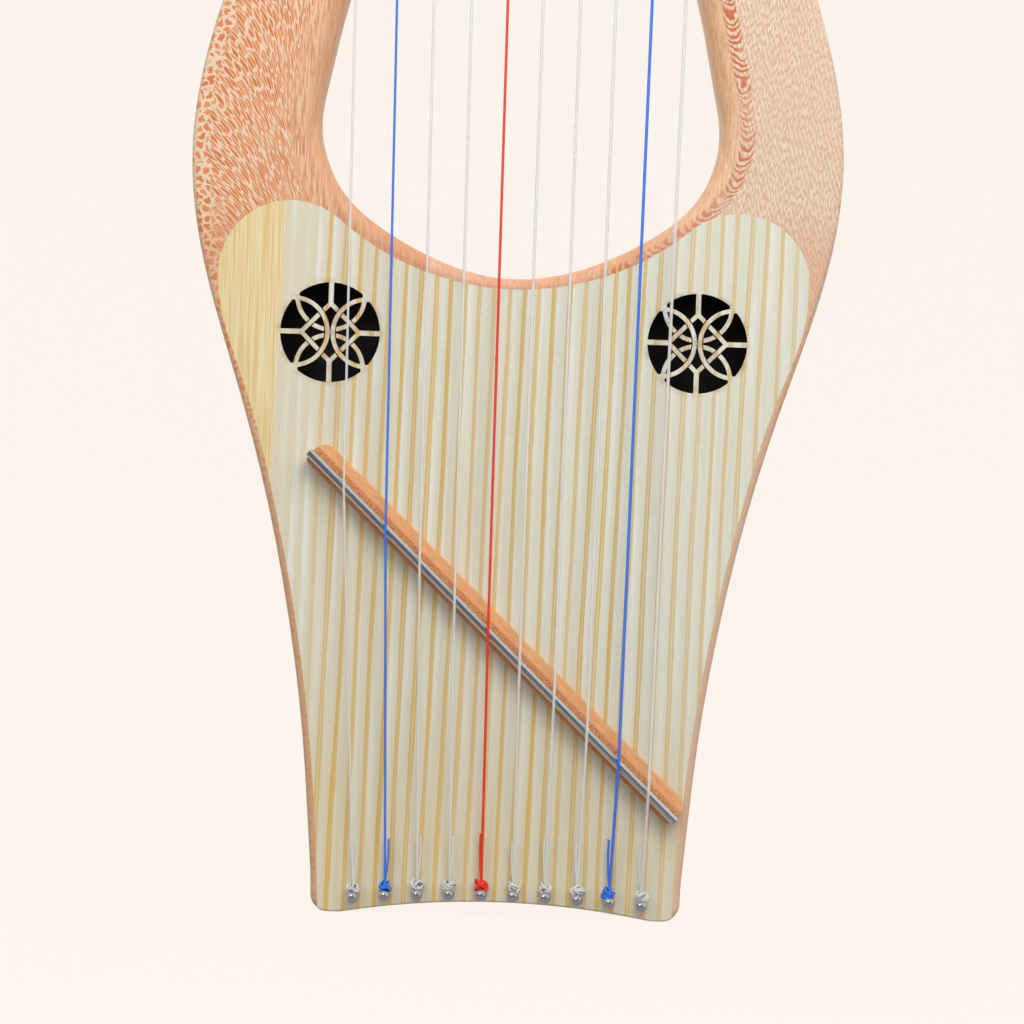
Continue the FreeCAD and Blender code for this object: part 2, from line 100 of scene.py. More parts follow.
# ---- node sheets ----------------------------------------------------------------------
@dataclass
class NodeSheet:
    """A node tree with short calls to add and join its nodes.

    Args:
        tree: The node tree that the nodes go in.
    """

    tree: Tree

    def wire(self, node: Node, **inputs: object) -> None:
        """Set a node's inputs, or join sockets to them.

        Args:
            node: The node.
            inputs: Values or sockets, by the input's name with _ for a space, or iN for number N.
        """
        for name, value in inputs.items():
            is_number = name[0] == "i" and name[1:].isdigit()
            socket = node.inputs[int(name[1:]) if is_number else name.replace("_", " ")]
            if isinstance(value, Socket):
                self.tree.links.new(value, socket)
            else:
                socket.default_value = value

    def add(self, kind: str, settings: dict[str, object] | None = None, **inputs: object) -> Node:
        """Add one node.

        Args:
            kind: The node's type, without its ShaderNode prefix.
            settings: Properties of the node itself.
            inputs: Values or sockets for its inputs, named as in wire.

        Returns:
            The new node.
        """
        node = self.tree.nodes.new("ShaderNode" + kind)
        for name, value in (settings or {}).items():
            setattr(node, name, value)
        self.wire(node, **inputs)
        return node

    def math(self, operation: str, a: object, b: object = 0.0, clamp: bool = False) -> Socket:
        """A Math node's result for two values or sockets."""
        return self.add("Math", {"operation": operation, "use_clamp": clamp}, i0=a, i1=b).outputs[0]

    def times(self, a: object, b: object) -> Socket:
        """Two values multiplied."""
        return self.math("MULTIPLY", a, b)

    def over(self, a: object, b: object) -> Socket:
        """One value divided by another."""
        return self.math("DIVIDE", a, b)

    def plus(self, a: object, b: object, clamp: bool = False) -> Socket:
        """Two values added, and kept from 0 to 1 if clamp is set."""
        return self.math("ADD", a, b, clamp)

    def minus(self, a: object, b: object) -> Socket:
        """One value less another."""
        return self.math("SUBTRACT", a, b)

    def reach(self, a: object, b: object) -> Socket:
        """The length of a slope with two sides."""
        return self.math("SQRT", self.plus(self.times(a, a), self.times(b, b)))

    def mix(self, factor: object, a: object, b: object) -> Socket:
        """Mix two colours by a factor."""
        return self.add("Mix", {"data_type": "RGBA"}, i0=factor, i6=a, i7=b).outputs[2]

    def between(self, factor: object, a: object, b: object) -> Socket:
        """Mix two masks by a factor."""
        return self.add("Mix", {"data_type": "FLOAT"}, i0=factor, i2=a, i3=b).outputs[0]

    def tint(self, colour: object, mask: object, share: float, toward: Shade) -> Socket:
        """Draw a colour toward another where a mask is, by no more than a share."""
        return self.mix(self.times(mask, share), colour, toward)

    def smooth(self, value: object, low: float, high: float) -> Socket:
        """A smooth step from 0 at low to 1 at high; low may be above high."""
        swap = low > high
        return self.add("MapRange", {"interpolation_type": "SMOOTHSTEP"}, Value=value,
                        From_Min=min(low, high), From_Max=max(low, high),
                        To_Min=float(swap), To_Max=float(not swap)).outputs[0]

    def noise(self, vector: object, scale: float, detail: float = 2.0, rough: float = 0.5) -> Socket:
        """A noise value about 0.5 at each place."""
        return self.add("TexNoise", Vector=vector, Scale=scale, Detail=detail, Roughness=rough).outputs[0]

    def grain(self, x: object, z: object, wide: float, high: float, detail: float = 2.0,
              rough: float = 0.5) -> Socket:
        """A flat noise whose width and height are scaled apart, which draws it out along one of them."""
        return self.noise(self.combine(self.times(x, wide), 0.0, self.times(z, high)), 1.0, detail, rough)

    def chance(self, number: object) -> Socket:
        """A value from 0 to 1 that is unlike for each whole number."""
        return self.add("TexWhiteNoise", {"noise_dimensions": "1D"}, W=number).outputs["Value"]

    def levels(self, value: object, stops: Levels) -> Socket:
        """A mask that goes through (value, level) stops in straight lines."""
        node = self.add("ValToRGB", i0=value)
        points = node.color_ramp.elements
        while len(points) < len(stops):
            points.new(0.5)
        for point, (position, level) in zip(points, stops):
            point.position = position
            point.color = (level, level, level, 1.0)
        return node.outputs[0]

    def curve(self, value: object, stops: list[tuple[float, float]]) -> Socket:
        """A smooth curve through (value, result) stops, both from 0 to 1."""
        node = self.add("FloatCurve", Value=value)
        points = node.mapping.curves[0].points
        while len(points) < len(stops):
            points.new(0.5, 0.5)
        for point, stop in zip(points, stops):
            point.location = stop
        node.mapping.update()
        return node.outputs[0]

    def combine(self, x: object, y: object, z: object) -> Socket:
        """A vector from three numbers."""
        return self.add("CombineXYZ", i0=x, i1=y, i2=z).outputs[0]

    def parts(self, vector: object) -> tuple[Socket, Socket, Socket]:
        """The three numbers of a vector."""
        return tuple(self.add("SeparateXYZ", i0=vector).outputs)

    def scaled(self, vector: object, scale: object) -> Socket:
        """A vector made longer or shorter."""
        return self.add("VectorMath", {"operation": "SCALE"}, i0=vector, Scale=scale).outputs[0]

    def turned(self, vector: object, turn: Turn) -> Socket:
        """A vector turned about the three axes."""
        return self.add("Mapping", Vector=vector, Rotation=turn).outputs[0]

    def millimetres(self) -> tuple[Socket, Socket, Socket, Socket]:
        """The place on the object in millimetres, whole and as its X, Y and Z."""
        place = self.scaled(self.add("TexCoord").outputs["Object"], 1.0 / MM)
        return place, *self.parts(place)


def new_material(name: str) -> tuple[Material, NodeSheet, Node]:
    """Start a material with an empty Principled shader.

    Args:
        name: The material's name.

    Returns:
        The material, its node sheet and its Principled node.
    """
    material = bpy.data.materials.new(name)
    material.use_nodes = True
    return material, NodeSheet(material.node_tree), material.node_tree.nodes["Principled BSDF"]


def new_group(name: str, inputs: dict[str, float],
              outputs: tuple[str, ...]) -> tuple[NodeSheet, object, object]:
    """Start a shader node group with float inputs, a vector input and float outputs.

    Args:
        name: The group's name.
        inputs: Names and defaults of the float inputs.
        outputs: Names of the float outputs.

    Returns:
        The group's node sheet, its input node's sockets and its output node's sockets.
    """
    tree = bpy.data.node_groups.new(name, "ShaderNodeTree")
    tree.interface.new_socket("Place", in_out="INPUT", socket_type="NodeSocketVector")
    for key, value in inputs.items():
        tree.interface.new_socket(key, in_out="INPUT", socket_type="NodeSocketFloat").default_value = value
    for key in outputs:
        tree.interface.new_socket(key, in_out="OUTPUT", socket_type="NodeSocketFloat")
    return NodeSheet(tree), tree.nodes.new("NodeGroupInput").outputs, tree.nodes.new("NodeGroupOutput").inputs


# ---- shared effects -------------------------------------------------------------------
def fibre_group() -> Tree:
    """Build the fine fibre and pore effect shared by every wood.

    Returns:
        A group whose Place runs along the fibres in Z, in millimetres, and which puts out Fibre, a
        colour mask, and Pores, a mask of the short dark pores.
    """
    sheet, source, sink = new_group("fibre", {"Fineness": 1.0, "Length": 30.0}, ("Fibre", "Pores"))
    parts = sheet.parts(source["Place"])
    across, deep = (sheet.times(part, source["Fineness"]) for part in parts[:2])
    along = sheet.over(parts[2], source["Length"])
    fibre = sheet.noise(sheet.combine(across, deep, along), 2.2, 4.0, 0.6)
    pores = sheet.noise(sheet.combine(across, deep, sheet.times(along, 6.0)), 4.0, 1.0, 0.5)
    sheet.tree.links.new(sheet.smooth(fibre, 0.3, 0.7), sink["Fibre"])
    sheet.tree.links.new(sheet.smooth(pores, 0.63, 0.74), sink["Pores"])
    return sheet.tree


def flake_group() -> Tree:
    """Build the ray flake effect shared by the figured woods.

    Returns:
        A group that takes a place in flake widths and lengths, and puts out Flake, 1 inside a flake
        and 0 in the net between flakes, and Tone, a value that differs from flake to flake.
    """
    sheet, source, sink = new_group("ray_flake", {"Net": 0.1, "Soft": 0.1, "Ragged": 0.25}, ("Flake", "Tone"))
    wobble = sheet.add("TexNoise", Vector=source["Place"], Scale=1.7, Detail=2.0).outputs["Color"]
    centred = sheet.add("VectorMath", {"operation": "SUBTRACT"}, i0=wobble, i1=(0.5, 0.5, 0.5)).outputs[0]
    place = sheet.add("VectorMath", {"operation": "ADD"}, i0=source["Place"],
                      i1=sheet.scaled(centred, source["Ragged"])).outputs[0]
    edge, cell = (sheet.add("TexVoronoi", {"feature": feature}, Vector=place, Scale=1.0,
                            Randomness=0.75).outputs for feature in ("DISTANCE_TO_EDGE", "F1"))
    flake = sheet.add("MapRange", {"interpolation_type": "SMOOTHSTEP"}, Value=edge["Distance"],
                      From_Min=source["Net"], From_Max=sheet.plus(source["Net"], source["Soft"]))
    tone = sheet.add("SeparateColor", i0=cell["Color"])
    sheet.tree.links.new(flake.outputs[0], sink["Flake"])
    sheet.tree.links.new(tone.outputs[0], sink["Tone"])
    return sheet.tree


# The outline of the right arm in millimetres: its outer edge from the foot up, and its inner edge from
# the bottom of the U up. Both are mirrored on the left.
OUTER_EDGE = ((74.0, 7.0), (78.8, 67.0), (85.8, 115.0), (96.0, 163.0), (109.9, 211.0), (122.6, 251.0),
              (130.5, 302.0), (128.2, 330.0), (120.3, 363.0), (107.0, 401.0), (90.0, 446.0))
INNER_EDGE = ((0.0, 255.4), (28.3, 260.8), (52.6, 272.8), (69.5, 286.8), (78.0, 302.0), (80.8, 316.0),
              (78.1, 335.0), (72.5, 361.0), (65.1, 390.0), (59.7, 418.0), (57.9, 446.0))
HEART_Z = 330.0       # the height that the inner edge's distances are measured from
OUTLINE_SPAN = 500.0  # longer than any distance on the outline
ROSE_PLACES = ((-73.0, 231.6), (74.0, 231.6))


def edge_group() -> Tree:
    """Build the measure of how far a place is from the two edges of the arms.

    Returns:
        A group that takes a place in millimetres and puts out Rim, the distance in from the outer edge,
        Inset, the distance in from the inner edge, and Along, the distance round the inner edge.
    """
    sheet, source, sink = new_group("arm_edges", {}, ("Rim", "Inset", "Along"))
    x, _, z = sheet.parts(source["Place"])
    side, up = sheet.math("ABSOLUTE", x), sheet.minus(z, HEART_Z)
    outline = [(high / OUTLINE_SPAN, wide / OUTLINE_SPAN) for wide, high in OUTER_EDGE]
    outer = sheet.times(sheet.curve(sheet.over(z, OUTLINE_SPAN), outline), OUTLINE_SPAN)
    radius, angle = sheet.reach(side, up), sheet.math("ARCTAN2", up, side)
    outline = [((math.atan2(high - HEART_Z, wide) + QUARTER) / math.pi,
                math.hypot(wide, high - HEART_Z) / OUTLINE_SPAN) for wide, high in INNER_EDGE]
    inner = sheet.times(sheet.curve(sheet.over(sheet.plus(angle, QUARTER), math.pi), outline), OUTLINE_SPAN)
    sheet.tree.links.new(sheet.minus(outer, side), sink["Rim"])
    sheet.tree.links.new(sheet.minus(radius, inner), sink["Inset"])
    sheet.tree.links.new(sheet.times(angle, radius), sink["Along"])
    return sheet.tree


def hair_group() -> Tree:
    """Build the fine lines that show where a ray figured wood is rounded over.

    Returns:
        A group that takes a place in millimetres and puts out Hair, 1 on a line and 0 beside it.
    """
    sheet, source, sink = new_group("hair_lines", {"Fineness": 1.0, "Length": 9.0}, ("Hair",))
    x, y, z = sheet.parts(source["Place"])
    across = sheet.minus(sheet.math("ABSOLUTE", x), sheet.times(y, 0.6))
    place = sheet.combine(sheet.times(across, source["Fineness"]), sheet.times(y, 0.35),
                          sheet.over(z, source["Length"]))
    sheet.tree.links.new(sheet.smooth(sheet.noise(place, 1.0, 3.0, 0.6), 0.4, 0.62), sink["Hair"])
    return sheet.tree


@dataclass(frozen=True)
class FlakeForm:
    """The form of ray flakes, in flake widths.

    Args:
        net: Half the width of the net between flakes.
        soft: How wide the soft side of a flake is.
        ragged: How far the sides stray.
    """

    net: float
    soft: float
    ragged: float


@dataclass
class Effects:
    """The shared node groups, each built once, and short calls to place them in a material."""

    fibre: Tree = field(default_factory=fibre_group)
    flake: Tree = field(default_factory=flake_group)
    edge: Tree = field(default_factory=edge_group)
    hair: Tree = field(default_factory=hair_group)

    def fibres(self, sheet: NodeSheet, place: object, fineness: float, length: float) -> object:
        """The outputs of the fibre effect: how fine the fibres are and how long, in millimetres."""
        return sheet.add("Group", {"node_tree": self.fibre}, Place=place, Fineness=fineness,
                         Length=length).outputs

    def flakes(self, sheet: NodeSheet, place: object, form: FlakeForm) -> object:
        """The outputs of the flake effect."""
        return sheet.add("Group", {"node_tree": self.flake}, Place=place, Net=form.net, Soft=form.soft,
                         Ragged=form.ragged).outputs

    def edges(self, sheet: NodeSheet, place: object) -> object:
        """The outputs of the measure from the arms' edges."""
        return sheet.add("Group", {"node_tree": self.edge}, Place=place).outputs

    def hairs(self, sheet: NodeSheet, place: object, fineness: float, length: float) -> Socket:
        """The mask of the hair lines: how fine they are and how long, in millimetres."""
        return sheet.add("Group", {"node_tree": self.hair}, Place=place, Fineness=fineness,
                         Length=length).outputs["Hair"]


# ---- finishes -------------------------------------------------------------------------
@dataclass(frozen=True)
class Surface:
    """How rough a wood is, and how its figure and pores stand out.

    Args:
        rough: Roughness between the fibres.
        fibre_rough: How much rougher the fibres are.
        pores: Height of the pores beside that of the figure.
        strength: Strength of the relief.
        depth: Depth of the relief in metres.
    """

    rough: float = 0.4
    fibre_rough: float = 0.14
    pores: float = -0.6
    strength: float = 0.1
    depth: float = 0.15 * MM

    def coat(self, sheet: NodeSheet, shader: Node, colour: object, fibre: object,
             figure: object) -> None:
        """Give a wood's shader its colour, roughness and relief.

        Args:
            sheet: The material's node sheet.
            shader: The material's Principled node.
            colour: The finished colour.
            fibre: The outputs of the fibre effect.
            figure: The height of the figure.
        """
        rough = sheet.plus(self.rough, sheet.times(fibre["Fibre"], self.fibre_rough))
        height = sheet.plus(figure, sheet.times(fibre["Pores"], self.pores))
        relief = sheet.add("Bump", Strength=self.strength, Distance=self.depth, Height=height)
        sheet.wire(shader, Base_Color=colour, Roughness=rough, Normal=relief.outputs[0])


@dataclass(frozen=True)
class ArmWood:
    """What the woods of both arms share: hair lines where they are rounded, and their changes of tint."""

    name: str
    round_light: Shade = srgb(240, 198, 164)
    round_dark: Shade = srgb(206, 138, 98)
    round_span: Span = (13.5, 8.5)
    round_share: float = 0.9
    hair_fineness: float = 1.5
    hair_length: float = 9.0
    bow_tint: Shade = srgb(214, 144, 98)
    bow_span: Span = (-40.0, -75.0)
    bow_share: float = 0.45
    # colour of the rim and low sides: partly plainer rim wood, partly painted shade of the rounded rim
    rim_tone_and_shade: Shade = srgb(206, 162, 122)
    side_span: Span = (215.0, 160.0)
    side_share: float = 0.72

    def round_over(self, effects: Effects, sheet: NodeSheet, place: object, inset: object,
                   colour: object) -> Socket:
        """Turn the figure into hair lines toward the rounded inner edge.

        Args:
            effects: The shared effects.
            sheet: The material's node sheet.
            place: Place in millimetres.
            inset: Distance in from the inner edge.
            colour: The colour so far.

        Returns:
            The colour with the hair lines.
        """
        hair = effects.hairs(sheet, place, self.hair_fineness, self.hair_length)
        share = sheet.times(sheet.smooth(inset, *self.round_span), self.round_share)
        return sheet.mix(share, colour, sheet.mix(hair, self.round_light, self.round_dark))

    def tint_ends(self, sheet: NodeSheet, along: object, z: object, colour: object) -> Socket:
        """Warm the wood at the bottom of the U, and darken the low sides beside the board, partly plainer rim
        wood and partly painted shade of the rounded rim.

        Args:
            sheet: The material's node sheet.
            along: Distance round the inner edge.
            z: Height in millimetres.
            colour: The colour so far.

        Returns:
            The tinted colour.
        """
        colour = sheet.tint(colour, sheet.smooth(along, *self.bow_span), self.bow_share, self.bow_tint)
        return sheet.tint(colour, sheet.smooth(z, *self.side_span), self.side_share, self.rim_tone_and_shade)


@dataclass(frozen=True)
class FlakedWood(ArmWood):
    """Quarter sawn wood covered with orange ray flakes, as on the left arm.

    The flakes are round at the outer edge, lie aslant across the arm, stand up near the inner edge and
    turn into hair lines where the edge is rounded over.
    """

    flake_light: Shade = srgb(230, 148, 92)
    flake_dark: Shade = srgb(212, 114, 52)
    net: Shade = srgb(236, 212, 182)
    edge_tint: Shade = srgb(222, 166, 126)
    fibre_tint: Shade = srgb(205, 146, 104)
    flake_width: float = 1.75
    flake_length: float = 9.5
    flake_depth: float = 2.6
    flake_form: FlakeForm = FlakeForm(0.06, 0.1, 0.25)
    blob_size: float = 3.3
    blob_form: FlakeForm = FlakeForm(0.11, 0.1, 0.95)
    blob_span: Span = (12.6, 10.6)
    blob_wander: float = 9.0
    slant: float = 0.7
    slant_growth: float = 0.00047
    stagger: float = 0.38
    edge_span: Span = (7.5, 2.5)
    rim_span: Span = (1.6, 0.2)
    surface: Surface = Surface(strength=0.12)

    def build(self, effects: Effects) -> Material:
        """Make the material."""
        material, sheet, shader = new_material(self.name)
        place, _, y, z = sheet.millimetres()
        edges = effects.edges(sheet, place)
        rim, inset = edges["Rim"], edges["Inset"]
        growth = sheet.times(sheet.math("POWER", sheet.math("MAXIMUM", rim, 0.0), 3.0), self.slant_growth)
        flow = sheet.plus(growth, sheet.times(rim, self.slant))
        across = sheet.over(sheet.plus(z, flow), self.flake_width)
        run = sheet.plus(sheet.over(sheet.minus(rim, z), self.flake_length), sheet.times(across, self.stagger))
        cells = sheet.combine(across, run, sheet.over(y, self.flake_depth))
        lenses = effects.flakes(sheet, cells, self.flake_form)
        blobs = effects.flakes(sheet, sheet.scaled(place, 1.0 / self.blob_size), self.blob_form)
        wander = sheet.times(sheet.noise(place, 0.22), self.blob_wander)
        outer = sheet.smooth(sheet.plus(rim, wander), *self.blob_span)
        flake, tone = (sheet.between(outer, lenses[key], blobs[key]) for key in ("Flake", "Tone"))
        colour = sheet.mix(flake, self.net, sheet.mix(tone, self.flake_light, self.flake_dark))
        colour = self.round_over(effects, sheet, place, inset, colour)
        colour = sheet.tint(colour, sheet.smooth(inset, *self.edge_span), 0.55, self.edge_tint)
        colour = self.tint_ends(sheet, edges["Along"], z, colour)
        # partly painted shade: the outermost rounded rim and the outer sides are darkened toward the rim
        # colour
        colour = sheet.tint(colour, sheet.smooth(rim, *self.rim_span), 0.5, self.rim_tone_and_shade)
        fibre = effects.fibres(sheet, place, 1.6, 14.0)
        colour = sheet.tint(colour, fibre["Fibre"], 0.14, self.fibre_tint)
        self.surface.coat(sheet, shader, colour, fibre, flake)
        return material


@dataclass(frozen=True)
class LaceWood(ArmWood):
    """Pale wood with a fine lace of cream strokes, and orange rings beside its rounded inner edge."""

    light: Shade = srgb(247, 233, 209)
    line: Shade = srgb(216, 179, 150)
    ring: Shade = srgb(202, 98, 34)
    round_light: Shade = srgb(240, 197, 152)
    round_dark: Shade = srgb(219, 162, 112)
    round_span: Span = (9.5, 6.5)
    round_share: float = 0.88
    hair_length: float = 7.0
    rim_tone_and_shade: Shade = srgb(222, 188, 160)
    streak_tint: Shade = srgb(206, 158, 130)
    fibre_tint: Shade = srgb(212, 160, 124)
    patch_tint: Shade = srgb(226, 190, 172)
    stroke_width: float = 0.66
    stroke_length: float = 4.0
    stroke_depth: float = 3.0
    stroke_form: FlakeForm = FlakeForm(0.05, 0.25, 0.25)
    lean: float = 0.14
    stagger: float = 0.38
    ring_strength: float = 0.95
    ring_inset: float = 11.0
    ring_pitch: float = 3.1
    ring_bow: float = 0.3
    ring_wander: float = 14.0
    ring_reach: Span = (3.6, 2.4)
    low_span: Span = (-28.0, -62.0)
    low_shift: float = 4.5
    surface: Surface = Surface(depth=0.12 * MM)

    def build(self, effects: Effects) -> Material:
        """Make the material."""
        material, sheet, shader = new_material(self.name)
        place, x, y, z = sheet.millimetres()
        edges = effects.edges(sheet, place)
        across = sheet.over(sheet.minus(x, sheet.times(z, self.lean)), self.stroke_width)
        run = sheet.plus(sheet.over(z, self.stroke_length), sheet.times(across, self.stagger))
        cells = sheet.combine(across, run, sheet.over(y, self.stroke_depth))
        lace = effects.flakes(sheet, cells, self.stroke_form)
        colour = sheet.mix(lace["Flake"], self.line, self.light)
        colour = sheet.tint(colour, lace["Tone"], 0.25, self.line)
        drawn = sheet.combine(sheet.times(across, 0.45), sheet.times(y, 0.2), sheet.times(z, 0.02))
        streak = sheet.smooth(sheet.noise(drawn, 1.0), 0.62, 0.76)
        colour = sheet.tint(colour, streak, 0.4, self.streak_tint)
        colour = self.round_over(effects, sheet, place, edges["Inset"], colour)
        colour = sheet.mix(self.rings(sheet, place, edges["Inset"], edges["Along"]), colour, self.ring)
        colour = self.tint_ends(sheet, edges["Along"], z, colour)
        fibre = effects.fibres(sheet, place, 1.8, 12.0)
        colour = sheet.tint(colour, fibre["Fibre"], 0.12, self.fibre_tint)
        patch = sheet.smooth(sheet.noise(place, 0.02), 0.4, 0.65)
        colour = sheet.tint(colour, patch, 0.22, self.patch_tint)
        self.surface.coat(sheet, shader, colour, fibre, lace["Flake"])
        return material

    def rings(self, sheet: NodeSheet, place: object, inset: object, along: object) -> Socket:
        """The stacked rings along the start of the rounding, as a mask.

        Args:
            sheet: The material's node sheet.
            place: Place in millimetres.
            inset: Distance in from the inner edge.
            along: Distance round the inner edge.

        Returns:
            The mask, 1 in the middle of a ring.
        """
        middle = sheet.minus(self.ring_inset, sheet.times(sheet.smooth(along, *self.low_span), self.low_shift))
        off = sheet.minus(inset, middle)
        bow = sheet.times(sheet.times(off, off), self.ring_bow)
        wander = sheet.times(sheet.noise(place, 0.1, 3.0), self.ring_wander)
        turn = sheet.math("FRACT", sheet.over(sheet.plus(sheet.minus(along, bow), wander), self.ring_pitch))
        band = sheet.math("ABSOLUTE", sheet.minus(turn, 0.5))
        ragged = sheet.times(sheet.noise(place, 1.8), 0.22)
        rings = sheet.smooth(sheet.plus(band, ragged), 0.44, 0.24)
        near = sheet.smooth(sheet.math("ABSOLUTE", off), *self.ring_reach)
        strong = sheet.smooth(sheet.noise(place, 0.09, 1.0), 0.3, 0.6)
        mask = sheet.times(sheet.times(near, rings), sheet.plus(strong, 0.45, True))
        return sheet.times(mask, self.ring_strength)


@dataclass(frozen=True)
class RayWood:
    """The same wood sawn into a flat panel or a bar, with long even flakes along its grain, and a near black
    painted shade on the back board's inner face.
    """

    name: str
    light: Shade = srgb(238, 213, 184)
    flake: Shade = srgb(218, 152, 106)
    fibre_tint: Shade = srgb(206, 150, 110)
    # painted shade: near black colours for the back board's inner face inside the body, and the depth where
    # that face starts
    painted_inside_shade: tuple[Shade, Shade] = (srgb(22, 19, 18), srgb(40, 32, 29))
    painted_shade_behind: float | None = None
    turn: Turn = (0.0, 0.0, 0.0)
    flake_width: float = 1.4
    flake_length: float = 6.5
    flake_depth: float = 2.4
    flake_form: FlakeForm = FlakeForm(0.05, 0.12, 0.3)
    sway: float = 22.0
    surface: Surface = Surface()

    def build(self, effects: Effects) -> Material:
        """Make the material."""
        material, sheet, shader = new_material(self.name)
        place, _, y, _ = sheet.millimetres()
        turned = sheet.turned(place, self.turn)
        side, deep, up = sheet.parts(turned)
        side = sheet.plus(side, sheet.times(sheet.noise(turned, 0.02), self.sway))
        cells = sheet.combine(sheet.over(side, self.flake_width), sheet.over(deep, self.flake_depth),
                              sheet.over(up, self.flake_length))
        flakes = effects.flakes(sheet, cells, self.flake_form)
        fibre = effects.fibres(sheet, turned, 1.5, 16.0)
        amount = sheet.times(flakes["Flake"], sheet.plus(sheet.times(flakes["Tone"], 0.4), 0.55))
        colour = sheet.mix(amount, self.light, self.flake)
        colour = sheet.tint(colour, fibre["Fibre"], 0.2, self.fibre_tint)
        # painted shade: the inner face of the back board, inside the hollow body, is painted near black
        if self.painted_shade_behind is not None:
            inside = sheet.smooth(y, self.painted_shade_behind + 0.6, self.painted_shade_behind + 0.1)
            colour = sheet.mix(inside, colour, sheet.mix(fibre["Fibre"], *self.painted_inside_shade))
        self.surface.coat(sheet, shader, colour, fibre, flakes["Flake"])
        return material


